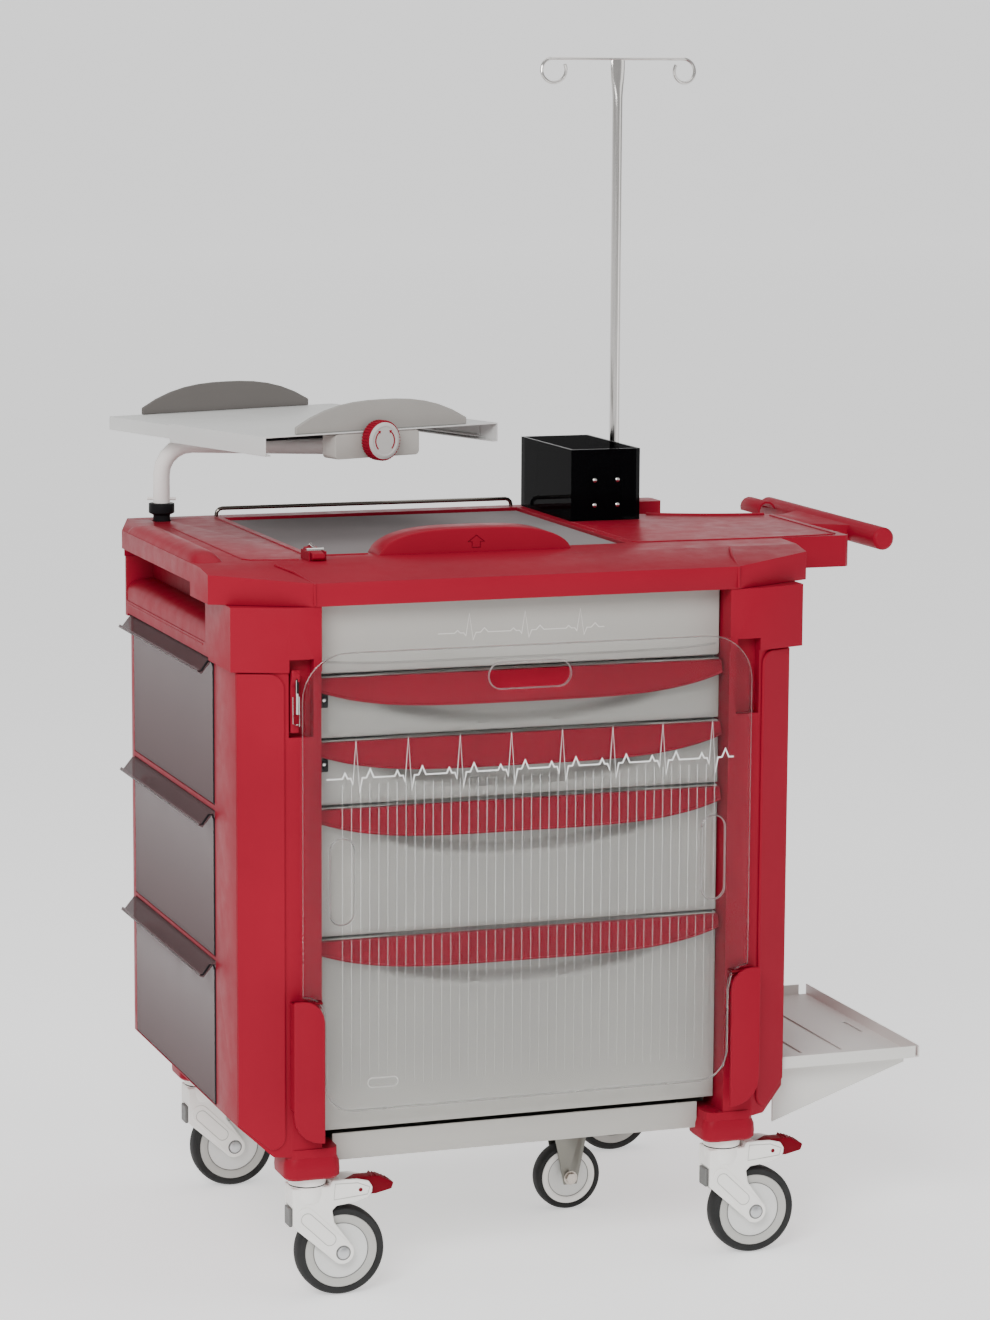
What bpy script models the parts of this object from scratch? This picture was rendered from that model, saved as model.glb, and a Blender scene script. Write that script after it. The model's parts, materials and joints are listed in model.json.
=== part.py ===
"""Emergency crash cart: drawer cabinet, tilt bins, clear front door, swivel shelf and IV pole.

Everything is modelled in the cabinet's own coordinates (X to the right along the front,
Y into the depth from the drawer fronts, Z up from the floor) and hung on one empty that
puts the middle of the whole cart's footprint at the world origin.
"""
import math

import bmesh
import bpy
from mathutils import Matrix, Vector

# Placing of the cabinet under the world origin
CART_X, CART_Y = -0.1022, -0.3762

# Fits between neighbouring solids
GAP = 0.0004
PLAY = 0.0015

# Cabinet
DRAWER_HALF = 0.2905
INNER_HALF = 0.2930
POST_FRONT = -0.030
POST_CHAMFER_X = 0.338
SIDE_X, SIDE_Y = 0.403, -0.002
SIDE_RIGHT = 0.394
SIDE_END = 0.566
SHELL_BACK = 0.640
SHELL_BOTTOM, SHELL_TOP = 0.206, 0.9546
NECK_BOTTOM, NECK_STEP, NECK_STEP_RIGHT = 0.868, 0.008, 0.017
DRAWER_EDGES = (0.2285, 0.498, 0.6785, 0.770, 0.857)
DRAWER_BACK = 0.575
PANEL = 0.018
WALL = 0.0025

# Worktop
TOP_Z, TOP_UNDER = 1.000, 0.955
APRON_FRONT, APRON_TOP, BEVEL_BACK = -0.036, 0.986, 0.070
TOP_SIDE, TOP_CORNER_X, TOP_CORNER_Y = 0.432, 0.303, 0.028
TOP_BACK = 0.645
DECK_RIGHT, DECK_FRONT, DECK_BACK = 0.550, 0.142, 0.420
NOTCH_X, NOTCH_Y = 0.347, 0.482
WELL = (-0.250, 0.210, 0.150, 0.610)
LID_LEVEL, LID_SHEET = 0.9915, 0.004

# Running gear
WHEEL_R, WHEEL_HALF, AXLE_R = 0.0625, 0.0145, 0.0055
TRAIL = 0.045
STEM_X, STEM_Y = 0.305, (0.002, 0.552)
BOOT_BOTTOM = 0.1725
FORK_TOP = 0.1685
FIFTH_AT, FIFTH_R = (0.175, 0.280), 0.050

# Swivel shelf
POST_AT = (-0.347, 0.600)
ARM_R, ARM_LEVEL, ARM_BEND = 0.0125, 1.1125, 0.045
ARM_HEADING, ARM_REACH = math.radians(-21.8), 0.290
SHELF_AT, SHELF_TURN = (-0.280, 0.282), math.radians(17.5)
SHELF_W, SHELF_D, SHELF_Z = 0.405, 0.420, 1.150
SHEET = 0.002

# IV pole
POLE_AT, ROD_R, TUBE_R = (0.3635, 0.600), 0.0075, 0.0110
POLE_TOP, TUBE_TOP, TUBE_FOOT = 1.674, 1.066, 0.520

# Clear door
DOOR_HALF, DOOR_LOW, DOOR_HIGH = 0.3195, 0.266, 0.893
DOOR_BACK, DOOR_SHEET = -0.0395, 0.004
GUARD_INNER, GUARD_OUTER, GUARD_LOW, GUARD_HIGH = 0.295, 0.338, 0.228, 0.425

# Tilt bins in the left side
BIN_Y = (0.106, 0.552)
BIN_FLOORS = (0.248, 0.457, 0.668)
BIN_HEIGHT, BIN_DEPTH = 0.204, 0.094

RED = (0.52, 0.012, 0.022)
BEIGE = (0.52, 0.50, 0.46)
DARK = (0.02, 0.02, 0.022)
STEEL = (0.62, 0.61, 0.60)


# ---------------------------------------------------------------- shapes

def prism(outline, axis, low, high):
    """Extrude a flat outline along an axis; outline pairs are (x,y), (x,z) or (y,z)."""
    place = {"Z": lambda u, v, w: (u, v, w),
             "Y": lambda u, v, w: (u, w, v),
             "X": lambda u, v, w: (w, u, v)}[axis]
    bm = bmesh.new()
    face = bm.faces.new([bm.verts.new(place(u, v, low)) for u, v in outline])
    side = bmesh.ops.extrude_face_region(bm, geom=[face])["geom"]
    shift = Vector(place(0, 0, high - low))
    bmesh.ops.translate(bm, verts=[v for v in side if isinstance(v, bmesh.types.BMVert)], vec=shift)
    bmesh.ops.recalc_face_normals(bm, faces=bm.faces)
    return bm


def block(x0, x1, y0, y1, z0, z1):
    return prism([(x0, y0), (x1, y0), (x1, y1), (x0, y1)], "Z", z0, z1)


def arc(cx, cy, radius, start, end, steps):
    """Points on a circle from start to end, in degrees."""
    angles = [math.radians(start + (end - start) * i / steps) for i in range(steps + 1)]
    return [(cx + radius * math.cos(a), cy + radius * math.sin(a)) for a in angles]


def round_rect(x0, x1, y0, y1, radius, steps=4):
    corners = ((x1, y1, 0), (x0, y1, 90), (x0, y0, 180), (x1, y0, 270))
    points = []
    for x, y, start in corners:
        cx = x - radius if x == x1 else x + radius
        cy = y - radius if y == y1 else y + radius
        points += arc(cx, cy, radius, start, start + 90, steps)
    return points


def disc(cx, cy, radius, axis, low, high, sides=24):
    return prism(arc(cx, cy, radius, 0, 360 - 360 / sides, sides - 1), axis, low, high)


def turned(profile, centre, axis="Z", sides=32):
    """Turn (radius, height) pairs about an axis through centre; a radius of 0 makes a pole."""
    bm = bmesh.new()
    rings = []
    for radius, height in profile:
        count = 1 if radius == 0 else sides
        turn = [2 * math.pi * i / sides for i in range(count)]
        rings.append([bm.verts.new((radius * math.cos(a), radius * math.sin(a), height)) for a in turn])
    closed = profile[0][0] > 0
    pairs = list(zip(rings, rings[1:])) + ([(rings[-1], rings[0])] if closed else [])
    for a, b in pairs:
        for i in range(sides):
            j = (i + 1) % sides
            corners = [a[i % len(a)], a[j % len(a)], b[j % len(b)], b[i % len(b)]]
            bm.faces.new(list(dict.fromkeys(corners)))
    turn = {"Z": Matrix.Identity(4), "Y": Matrix.Rotation(math.radians(-90), 4, "X"),
            "X": Matrix.Rotation(math.radians(90), 4, "Y")}[axis]
    bmesh.ops.transform(bm, matrix=Matrix.Translation(centre) @ turn, verts=bm.verts)
    bmesh.ops.recalc_face_normals(bm, faces=bm.faces)
    return bm


def pipe(route, radius, sides=12):
    """A round bar along a list of points, with flat ends."""
    points = [Vector(p) for p in route]
    bm = bmesh.new()
    rings = []
    across = None
    for i, point in enumerate(points):
        ahead = (points[min(i + 1, len(points) - 1)] - points[max(i - 1, 0)]).normalized()
        if across is None:
            across = ahead.orthogonal().normalized()
        across = (across - ahead * across.dot(ahead)).normalized()
        up = ahead.cross(across)
        turn = [2 * math.pi * k / sides for k in range(sides)]
        rings.append([bm.verts.new(point + radius * (math.cos(a) * across + math.sin(a) * up))
                      for a in turn])
    for a, b in zip(rings, rings[1:]):
        for k in range(sides):
            j = (k + 1) % sides
            bm.faces.new((a[k], a[j], b[j], b[k]))
    bm.faces.new(rings[0])
    bm.faces.new(rings[-1])
    bmesh.ops.recalc_face_normals(bm, faces=bm.faces)
    return bm


# ---------------------------------------------------------------- scene objects

def material(name, colour, roughness, metallic=0.0, alpha=1.0):
    mat = bpy.data.materials.new(name)
    mat.use_nodes = True
    shader = mat.node_tree.nodes["Principled BSDF"]
    shader.inputs["Base Color"].default_value = (*colour, 1.0)
    shader.inputs["Roughness"].default_value = roughness
    shader.inputs["Metallic"].default_value = metallic
    shader.inputs["Alpha"].default_value = alpha
    return mat


def place(name, bm, origin=(0, 0, 0)):
    """Make an object under the cart's empty with its origin at the given cabinet point."""
    bmesh.ops.translate(bm, verts=bm.verts, vec=-Vector(origin))
    mesh = bpy.data.meshes.new(name)
    bm.to_mesh(mesh)
    bm.free()
    obj = bpy.data.objects.new(name, mesh)
    bpy.context.collection.objects.link(obj)
    obj.parent = CART
    obj.location = origin
    return obj


def node(name, bm, finish, origin=(0, 0, 0), smooth=False):
    obj = place(name, bm, origin)
    obj.data.materials.append(material(name, *finish))
    if smooth:
        obj.data.shade_smooth()
        obj.data.set_sharp_from_angle(angle=math.radians(35))
    return obj


def combine(obj, bm, operation):
    """Add a Boolean step whose tool is a hidden guide object."""
    guide = place(f"{obj.name}_{operation.lower()}_{len(obj.modifiers)}", bm)
    guide.hide_render = True
    guide.display_type = "WIRE"
    step = obj.modifiers.new(operation.title(), "BOOLEAN")
    step.operation = operation
    step.solver = "EXACT"
    step.object = guide


def cut(obj, *tools):
    for bm in tools:
        combine(obj, bm, "DIFFERENCE")


def fuse(obj, *tools):
    for bm in tools:
        combine(obj, bm, "UNION")


RED_PLASTIC = (RED, 0.42)
BEIGE_PAINT = (BEIGE, 0.50)
BLACK_PLASTIC = (DARK, 0.40)
BRIGHT_STEEL = (STEEL, 0.20, 1.0)
SMOKED = ((0.10, 0.09, 0.09), 0.10, 0.0, 0.45)
CLEAR = ((0.90, 0.92, 0.92), 0.05, 0.0, 0.25)
TYRE = ((0.05, 0.05, 0.055), 0.70)


# ---------------------------------------------------------------- carcass

def base_pan():
    pan = node("base_pan", block(-0.2920, 0.2920, 0.004, 0.606, 0.1862, 0.2240), BEIGE_PAINT)
    cut(pan, block(-0.2890, 0.2890, 0.007, 0.603, 0.1892, 0.2300))
    for side in (-1, 1):
        inner, outer = sorted((side * 0.2682, side * 0.30))
        cut(pan, block(inner, outer, -0.01, 0.0368, 0.18, 0.23), block(inner, outer, 0.5172, 0.62, 0.18, 0.23))


def shell_outline(sign, grow):
    """Plan of a side shell: front post face, small chamfer, side wall and rear edge."""
    side = grow + (SIDE_X if sign < 0 else SIDE_RIGHT)
    points = [(INNER_HALF, POST_FRONT - grow), (POST_CHAMFER_X, POST_FRONT - grow),
              (side, SIDE_Y - grow / 2), (side, SIDE_END), (0.378, SHELL_BACK),
              (INNER_HALF, SHELL_BACK)]
    return [(sign * x, y) for x, y in points]


def side_shell(name, sign):
    shell = node(name, prism(shell_outline(sign, 0), "Z", SHELL_BOTTOM, SHELL_TOP), RED_PLASTIC)
    neck = shell_outline(sign, NECK_STEP if sign < 0 else NECK_STEP_RIGHT)
    neck = [(x, max(y, POST_FRONT - 0.004)) for x, y in neck]
    fuse(shell, prism(neck, "Z", NECK_BOTTOM, SHELL_TOP))
    for y in STEM_Y:
        fuse(shell, prism(round_rect(sign * STEM_X - 0.036, sign * STEM_X + 0.036,
                                     y - 0.034, y + 0.034, 0.014, 3), "Z", BOOT_BOTTOM, 0.215))
        cut(shell, disc(sign * STEM_X, y, 0.0118, "Z", 0.15, 0.204))
    low = [(sign * x, z) for x, z in ((0.352, 0.200), (0.42, 0.200), (0.42, 0.262))]
    cut(shell, prism(low, "Y", -0.05, 0.66))
    return shell


def left_side_shell():
    shell = side_shell("left_side_shell", -1)
    cut(shell, block(-0.3960, -0.280, BIN_Y[0] - 0.012, 0.572, 0.240, 0.876))
    for floor in BIN_FLOORS:
        cut(shell, block(-0.42, -0.380, *BIN_Y, floor, floor + BIN_HEIGHT))
    cut(shell, block(-0.42, -0.370, 0.120, 0.560, 0.890, 0.98))
    cut(shell, block(-0.350, -0.280, 0.030, 0.615, 0.890, 0.945))
    cut(shell, disc(POST_AT[0], POST_AT[1], 0.0145, "Z", 0.86, 0.97))
    cut(shell, block(-0.3380, -0.3040, -0.050, -0.014, 0.780, 0.885))


def right_side_shell():
    shell = side_shell("right_side_shell", 1)
    cut(shell, block(0.280, 0.3870, 0.040, 0.572, 0.240, 0.935))
    cut(shell, block(0.280, 0.3790, 0.560, 0.622, 0.240, 0.935))
    cut(shell, block(0.3040, 0.3380, -0.050, -0.014, 0.780, 0.885))
    cut(shell, disc(*POLE_AT, TUBE_R + GAP, "Z", 0.90, 0.97))
    fuse(shell, prism(round_rect(0.384, 0.436, 0.580, 0.632, 0.008, 2), "Z", 0.890, 1.006))


def back_panel():
    node("back_panel", block(-0.2922, 0.2922, 0.6125, 0.6155, 0.1865, 0.9540), BEIGE_PAINT)


def runner_panel(name, sign):
    """Inner liner with one ledge for each drawer to run on."""
    def at(x0, x1, y0, y1, z0, z1):
        return block(*sorted((sign * x0, sign * x1)), y0, y1, z0, z1)
    panel = node(name, at(0.2895, 0.2922, 0.0225, 0.6060, 0.2280, 0.9530), BEIGE_PAINT)
    for edge in DRAWER_EDGES[:4]:
        fuse(panel, at(0.2765, 0.2900, 0.0300, 0.5950, edge + 0.030, edge + 0.040))


def front_fascia():
    outline = round_rect(-DRAWER_HALF, DRAWER_HALF, DRAWER_EDGES[4] + 0.002, 0.9540, 0.003, 1)
    fascia = node("front_fascia", prism(outline, "Y", 0.0, PANEL), BEIGE_PAINT)
    cut(fascia, block(-0.28, 0.28, 0.004, 0.03, 0.87, 0.946))


def door_guard(name, sign):
    """Corner keeper for the clear door: a front plate on a flange that stands on the post."""
    inner, outer = GUARD_INNER, GUARD_OUTER
    plate = (arc(outer - 0.002, GUARD_HIGH - 0.002, 0.002, 0, 90, 1)
             + arc(inner + 0.030, GUARD_HIGH - 0.030, 0.030, 90, 180, 5)
             + [(inner, GUARD_LOW)]
             + arc(inner + 0.003, GUARD_LOW + 0.040, 0.040, 270, 360, 5))
    guard = node(name, prism([(sign * x, z) for x, z in plate], "Y", -0.0530, -0.0475), RED_PLASTIC)
    flange = [(sign * x, y) for x, y in ((outer - 0.006, -0.0480), (outer, -0.0480),
                                         (outer, POST_FRONT - GAP), (outer - 0.006, POST_FRONT - GAP))]
    fuse(guard, prism(flange, "Z", GUARD_LOW + 0.046, GUARD_HIGH - 0.004))


# ---------------------------------------------------------------- worktop

def top_outline():
    """Plan of the worktop with its corner chamfers and the side deck's curved rear edge."""
    curve = [(DECK_RIGHT - (DECK_RIGHT - NOTCH_X) * t,
              DECK_BACK + (NOTCH_Y - DECK_BACK) * t * t) for t in (0.0, 0.25, 0.5, 0.75, 1.0)]
    return ([(-TOP_CORNER_X, APRON_FRONT), (TOP_CORNER_X, APRON_FRONT), (TOP_SIDE, TOP_CORNER_Y),
             (TOP_SIDE + 0.010, DECK_FRONT), (DECK_RIGHT - 0.006, DECK_FRONT),
             (DECK_RIGHT, DECK_FRONT + 0.006)]
            + curve
            + [(NOTCH_X, TOP_BACK), (-0.388, TOP_BACK), (-TOP_SIDE, 0.500), (-TOP_SIDE, TOP_CORNER_Y)])


def top_cover():
    top = node("top_cover", prism(top_outline(), "Z", TOP_UNDER, TOP_Z), RED_PLASTIC)
    bevel = [(APRON_FRONT - 0.01, APRON_TOP - 0.0013), (BEVEL_BACK, TOP_Z), (BEVEL_BACK, 1.03),
             (APRON_FRONT - 0.01, 1.03)]
    cut(top, prism(bevel, "X", -0.6, 0.6))
    cut(top, block(WELL[0], WELL[1], WELL[2], WELL[3], 0.90, 1.03))
    pockets = ((-0.360, -0.262, 0.010, 0.560), (-0.255, 0.215, -0.022, 0.138),
               (0.222, 0.410, 0.030, 0.395), (0.222, 0.335, 0.400, 0.632),
               (0.440, 0.540, 0.152, 0.395))
    for x0, x1, y0, y1 in pockets:
        cut(top, block(x0, x1, y0, y1, 0.94, APRON_TOP - 0.009))
    cut(top, block(-0.46, -0.372, 0.120, 0.560, 0.94, 0.974))
    cut(top, block(-0.402, -0.372, 0.120, 0.560, 0.96, 0.992))
    cut(top, disc(*POST_AT, 0.0145, "Z", 0.94, 1.02))


def storage_tray():
    x0, x1, y0, y1 = WELL[0] + PLAY, WELL[1] - PLAY, WELL[2] + PLAY, WELL[3] - PLAY
    high = LID_LEVEL - GAP
    tray = node("storage_tray", block(x0, x1, y0, y1, 0.868, high), BEIGE_PAINT)
    cut(tray, block(x0 + 0.003, x1 - 0.003, y0 + 0.003, y1 - 0.003, 0.871, high + 0.02))


def lid_hinge():
    return (0.0, WELL[3] - 0.002, LID_LEVEL)


def top_lid():
    sheet = block(WELL[0] + PLAY, WELL[1] - PLAY, WELL[2] + PLAY, WELL[3] - 0.002,
                  LID_LEVEL, LID_LEVEL + LID_SHEET)
    node("top_lid", sheet, SMOKED, lid_hinge())


def lid_pull():
    """Arched red finger tab over the lid's front edge."""
    mid, half, base = -0.025, 0.140, TOP_Z + GAP
    arch = [(mid - half, base)] + [(mid + half, base)]
    arch += [(mid + half * math.cos(math.radians(a)), base + 0.004 + 0.029 * math.sin(math.radians(a)) ** 0.8)
             for a in range(0, 181, 15)]
    pull = node("lid_pull", prism(arch, "Y", 0.118, 0.124), RED_PLASTIC, lid_hinge())
    sill = LID_LEVEL + LID_SHEET + GAP
    fuse(pull, block(mid - half, mid + half, 0.122, 0.170, base, base + 0.003),
         block(mid - half, mid + half, 0.153, 0.170, sill, base + 0.001))


def lid_latch():
    """Small red over-centre lever on the worktop in front of the lid."""
    x0, x1 = -0.272, -0.254
    side = [(0.0825, 1.0006), (0.126, 1.0006), (0.130, 1.010), (0.122, 1.016), (0.096, 1.013), (0.080, 1.0105),
            (0.078, 1.0045)]
    node("lid_latch", prism(side, "X", x0, x1), RED_PLASTIC, (0.5 * (x0 + x1), 0.0825, 1.0065))


def rear_rail():
    y, z, low = 0.628, 1.012, 1.0004
    left, right, bend = -0.2566, 0.2068, 0.009
    route = [(left, y, low), (left, y, z - bend)]
    route += [(left + bend - bend * math.cos(math.radians(a)), y, z - bend + bend * math.sin(math.radians(a)))
              for a in (30, 60, 90)]
    route += [(right - bend + bend * math.sin(math.radians(a)), y, z - bend + bend * math.cos(math.radians(a)))
              for a in (0, 30, 60)]
    route += [(right, y, z - bend), (right, y, low)]
    node("rear_rail", pipe(route, 0.003, 10), BRIGHT_STEEL, smooth=True)


def push_handle():
    """Round push bar on a broad neck off the deck's right end."""
    x, z, radius = 0.6200, 0.988, 0.0165
    y0, y1, cap = 0.175, 0.602, 0.004
    profile = [(0, y0), (radius - cap, y0), (radius, y0 + cap), (radius, y1 - cap), (radius - cap, y1), (0, y1)]
    bar = turned([(r, h) for r, h in profile], (x, 0, z), "Y", 20)
    handle = node("push_handle", bar, RED_PLASTIC)
    neck = [(DECK_RIGHT + GAP, 0.298), (DECK_RIGHT + 0.022, 0.292), (x - 0.006, 0.262),
            (x - 0.006, 0.470), (DECK_RIGHT + 0.022, 0.428), (DECK_RIGHT + GAP, 0.4195)]
    fuse(handle, prism(neck, "Z", 0.976, 0.9985))


def cable_hook():
    """Open half-pipe cleat beside the rear end of the push bar, for winding up a lead."""
    x, z, outer, inner = 0.5840, 0.992, 0.0150, 0.0115
    ring = arc(x, z, outer, 20, 200, 7) + arc(x, z, inner, 200, 20, 7)
    hook = node("cable_hook", prism(ring, "Y", 0.520, 0.590), RED_PLASTIC)
    fuse(hook, block(x + inner - 0.0005, 0.6032, 0.560, 0.578, 0.9925, 0.9985))


# ---------------------------------------------------------------- right-hand fittings

BOX = (0.224, 0.332, 0.412, 0.630, TOP_Z + GAP, 1.106)


def acrylic_box():
    x0, x1, y0, y1, z0, z1 = BOX
    box = node("acrylic_box", block(*BOX), SMOKED)
    cut(box, block(x0 + 0.004, x1 - 0.004, y0 + 0.004, y1 - 0.004, z0 + 0.004, z1 + 0.02))


def box_brackets():
    """Black angle plates inside the box: one on the front wall, one on the rear wall."""
    x0, x1, y0, y1, z0, _ = BOX
    floor = z0 + 0.004 + GAP
    for name, mid, wall, inward, high in (("box_bracket_front", 0.279, y0 + 0.004 + GAP, 1, 0.075),
                                          ("box_bracket_rear", 0.275, y1 - 0.004 - GAP, -1, 0.078)):
        outline = [(mid - 0.027, floor), (mid + 0.027, floor)]
        outline += arc(mid + 0.021, floor + high - 0.006, 0.006, 0, 90, 3)
        outline += arc(mid - 0.021, floor + high - 0.006, 0.006, 90, 180, 3)
        plate = node(name, prism(outline, "Y", *sorted((wall, wall + inward * 0.0025))), BLACK_PLASTIC)
        foot = sorted((wall, wall + inward * 0.040))
        fuse(plate, block(mid - 0.027, mid + 0.027, *foot, floor, floor + 0.0025))


def iv_pole_tube():
    x, y = POLE_AT
    bore = ROD_R + GAP
    profile = [(TUBE_R, TUBE_FOOT), (TUBE_R, TUBE_TOP), (bore, TUBE_TOP), (bore, TUBE_FOOT)]
    node("iv_pole_tube", turned(profile, (x, y, 0), "Z", 20), BRIGHT_STEEL, smooth=True)


def iv_pole_clamp():
    """Pipe clip that holds the pole's outer tube to the right shell's rear wall."""
    x, y = POLE_AT
    clamp = node("iv_pole_clamp", block(x - 0.020, x + 0.0145, y - 0.016, 0.6215, 0.600, 0.640), BLACK_PLASTIC)
    cut(clamp, disc(x, y, TUBE_R + GAP, "Z", 0.58, 0.66))


def iv_pole_rod():
    """Sliding inner rod, flattened at the top under a cross wire with a ring hook at each end."""
    x, y = POLE_AT
    foot = 0.640
    rod = node("iv_pole_rod", disc(x, y, ROD_R, "Z", foot, 1.640, 16), BRIGHT_STEEL, (x, y, foot), True)
    paddle = [(-0.0060, 1.625), (0.0060, 1.625), (0.0112, 1.652), (0.0112, 1.6725),
              (-0.0112, 1.6725), (-0.0112, 1.652)]
    fuse(rod, prism([(x + u, z) for u, z in paddle], "Y", y - 0.003, y + 0.003))
    half, ring, wire = 0.105, 0.018, 0.0025
    route = []
    for sign, order in ((-1, 1), (1, -1)):
        loop = []
        for a in range(0, 301, 25):
            t = math.radians(a)
            loop.append((x + sign * (half + ring * math.sin(t)), y - 0.012 * a / 300,
                         POLE_TOP - ring + ring * math.cos(t)))
        route += loop[::-1] if order == 1 else loop
    fuse(rod, pipe(route, wire, 8))


def side_tray():
    """Folded sheet tray low on the right side, with drain slots."""
    x0, x1, y0, y1, z = SIDE_RIGHT + GAP, 0.611, 0.002, 0.400, 0.264
    tray = node("side_tray", block(x0, x1, y0, y1, z - 0.004, z + 0.0135), BEIGE_PAINT)
    cut(tray, block(x0 - 0.01, x1 - SHEET, y0 + SHEET, y1 - SHEET, z - 0.002, z + 0.03))
    cut(tray, block(x1 - 0.014, x1 - SHEET, y1 - 0.010, y1 + 0.01, z - 0.002, z + 0.03))
    cut(tray, block(x1 - 0.006, x1 - SHEET, y0 - 0.01, y0 + 0.010, z - 0.002, z + 0.03))
    slots = [(0.453, 0.459, 0.072, 0.300), (0.516, 0.522, 0.072, 0.300), (0.588, 0.594, 0.158, 0.222)]
    for a, b, c, d in slots:
        cut(tray, block(a, b, c, d, z - 0.02, z + 0.02))


def side_tray_bracket():
    """Tapered channel under the side tray."""
    z = 0.260 - GAP
    outline = [(SIDE_RIGHT + GAP, z), (0.600, z), (0.600, z - 0.012), (SIDE_RIGHT + GAP, 0.268 - 0.092)]
    bracket = node("side_tray_bracket", prism(outline, "Y", 0.030, 0.300), BEIGE_PAINT)
    inner = [(SIDE_RIGHT - 0.01, z - 0.003), (0.596, z - 0.003), (0.596, 0.10), (SIDE_RIGHT - 0.01, 0.10)]
    cut(bracket, prism(inner, "Y", 0.033, 0.297))


# ---------------------------------------------------------------- swivel shelf

def shelf_collar():
    x, y = POST_AT
    profile = [(0, 0.900), (0.0125, 0.900), (0.0125, 1.009), (0.0190, 1.012), (0.0190, 1.026), (0, 1.026)]
    node("shelf_collar", turned(profile, (x, y, 0), "Z", 20), BLACK_PLASTIC, smooth=True)


def shelf_arm():
    x, y = POST_AT
    dx, dy = math.cos(ARM_HEADING), math.sin(ARM_HEADING)
    route = [(x, y, 1.0265), (x, y, ARM_LEVEL - ARM_BEND)]
    for a in (18, 36, 54, 72, 90):
        t = math.radians(a)
        run = ARM_BEND * (1 - math.cos(t))
        route.append((x + run * dx, y + run * dy, ARM_LEVEL - ARM_BEND + ARM_BEND * math.sin(t)))
    route.append((x + ARM_REACH * dx, y + ARM_REACH * dy, ARM_LEVEL))
    arm = node("shelf_arm", pipe(route, ARM_R, 16), (BEIGE, 0.35), (x, y, 1.0265), True)
    pin = [(x - 0.021 * dx, y - 0.021 * dy, 1.0325), (x + 0.021 * dx, y + 0.021 * dy, 1.0325)]
    fuse(arm, pipe(pin, 0.0022, 8))


def shelf_point(u, v, z):
    """A point of the shelf, u along its front edge and v towards its back, in cabinet coordinates."""
    c, s = math.cos(SHELF_TURN), math.sin(SHELF_TURN)
    return (SHELF_AT[0] + c * u - s * v, SHELF_AT[1] + s * u + c * v, z)


def turn_to_shelf(bm):
    place_it = Matrix.Translation((*SHELF_AT, 0)) @ Matrix.Rotation(SHELF_TURN, 4, "Z")
    bmesh.ops.transform(bm, matrix=place_it, verts=bm.verts)
    return bm


def shelf_hub():
    hub = node("shelf_hub", turn_to_shelf(block(0.110, 0.290, 0.160, 0.300, 1.1255, 1.1450)), BLACK_PLASTIC,
               shelf_point(0.2, 0.23, 1.135))
    cut(hub, turn_to_shelf(block(0.125, 0.275, 0.175, 0.285, 1.129, 1.160)))


def folded_sheet(u0, u1, v0, v1, top, drop):
    """Flat sheet with a turned-down edge on its left and right."""
    section = [(u0, top), (u0, top - drop), (u0 + 0.010, top - drop), (u0 + 0.010, top - drop + SHEET),
               (u0 + SHEET, top - drop + SHEET), (u0 + SHEET, top - SHEET),
               (u1 - SHEET, top - SHEET), (u1 - SHEET, top - drop + SHEET),
               (u1 - 0.010, top - drop + SHEET), (u1 - 0.010, top - drop), (u1, top - drop), (u1, top)]
    return turn_to_shelf(prism(section, "Y", v0, v1))


def shelf_plates():
    inset = SHEET + GAP
    node("shelf_plate", folded_sheet(inset, SHELF_W - inset, 0.040, SHELF_D, SHELF_Z - inset, 0.0200), BEIGE_PAINT)
    node("shelf_slider", folded_sheet(0, SHELF_W, 0, 0.250, SHELF_Z, 0.0272), BEIGE_PAINT)


def guard_outline(u0, u1, foot, peak):
    """Long low arch with short upright ends."""
    mid, half, end = 0.5 * (u0 + u1), 0.5 * (u1 - u0), 0.010
    points = [(u0, foot), (u1, foot)]
    for i in range(13):
        s = 1 - 2 * i / 12
        rise = end + (peak - end) * (1 - abs(s) ** 2.6)
        points.append((mid + half * s, foot + rise))
    return points


def shelf_guards():
    for name, v0, v1, foot in (("shelf_guard_front", 0.0040, 0.0090, SHELF_Z + GAP),
                               ("shelf_guard_rear", SHELF_D - 0.009, SHELF_D - 0.004, SHELF_Z - SHEET)):
        node(name, turn_to_shelf(prism(guard_outline(0.055, 0.352, foot, 0.043), "Y", v0, v1)), BEIGE_PAINT)


def shelf_clamp():
    """Clamp box behind the front edge, under the sliding plate, with the locking knob on it."""
    outline = round_rect(0.120, 0.266, 1.1115, SHELF_Z - SHEET - GAP, 0.006, 3)
    clamp = node("shelf_clamp", turn_to_shelf(prism(outline, "Y", 0.002, 0.034)), BEIGE_PAINT)
    cut(clamp, turn_to_shelf(block(0.123, 0.263, 0.005, 0.05, 1.1145, 1.1440)))


KNOB_AT = (0.190, 1.1366)


def shelf_knob():
    u, z = KNOB_AT
    profile = [(0, -0.0215), (0.0235, -0.0215), (0.0255, -0.0190), (0.0285, -0.0180), (0.0290, -0.0060),
               (0.0270, -0.0010), (0.0080, -0.0010), (0.0080, 0.0020 - GAP), (0, 0.0020 - GAP)]
    knob = turned(profile, (u, 0, z), "Y", 28)
    node("shelf_knob", turn_to_shelf(knob), RED_PLASTIC, shelf_point(u, 0, z), True)


# ---------------------------------------------------------------- drawers, door and bins

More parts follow.
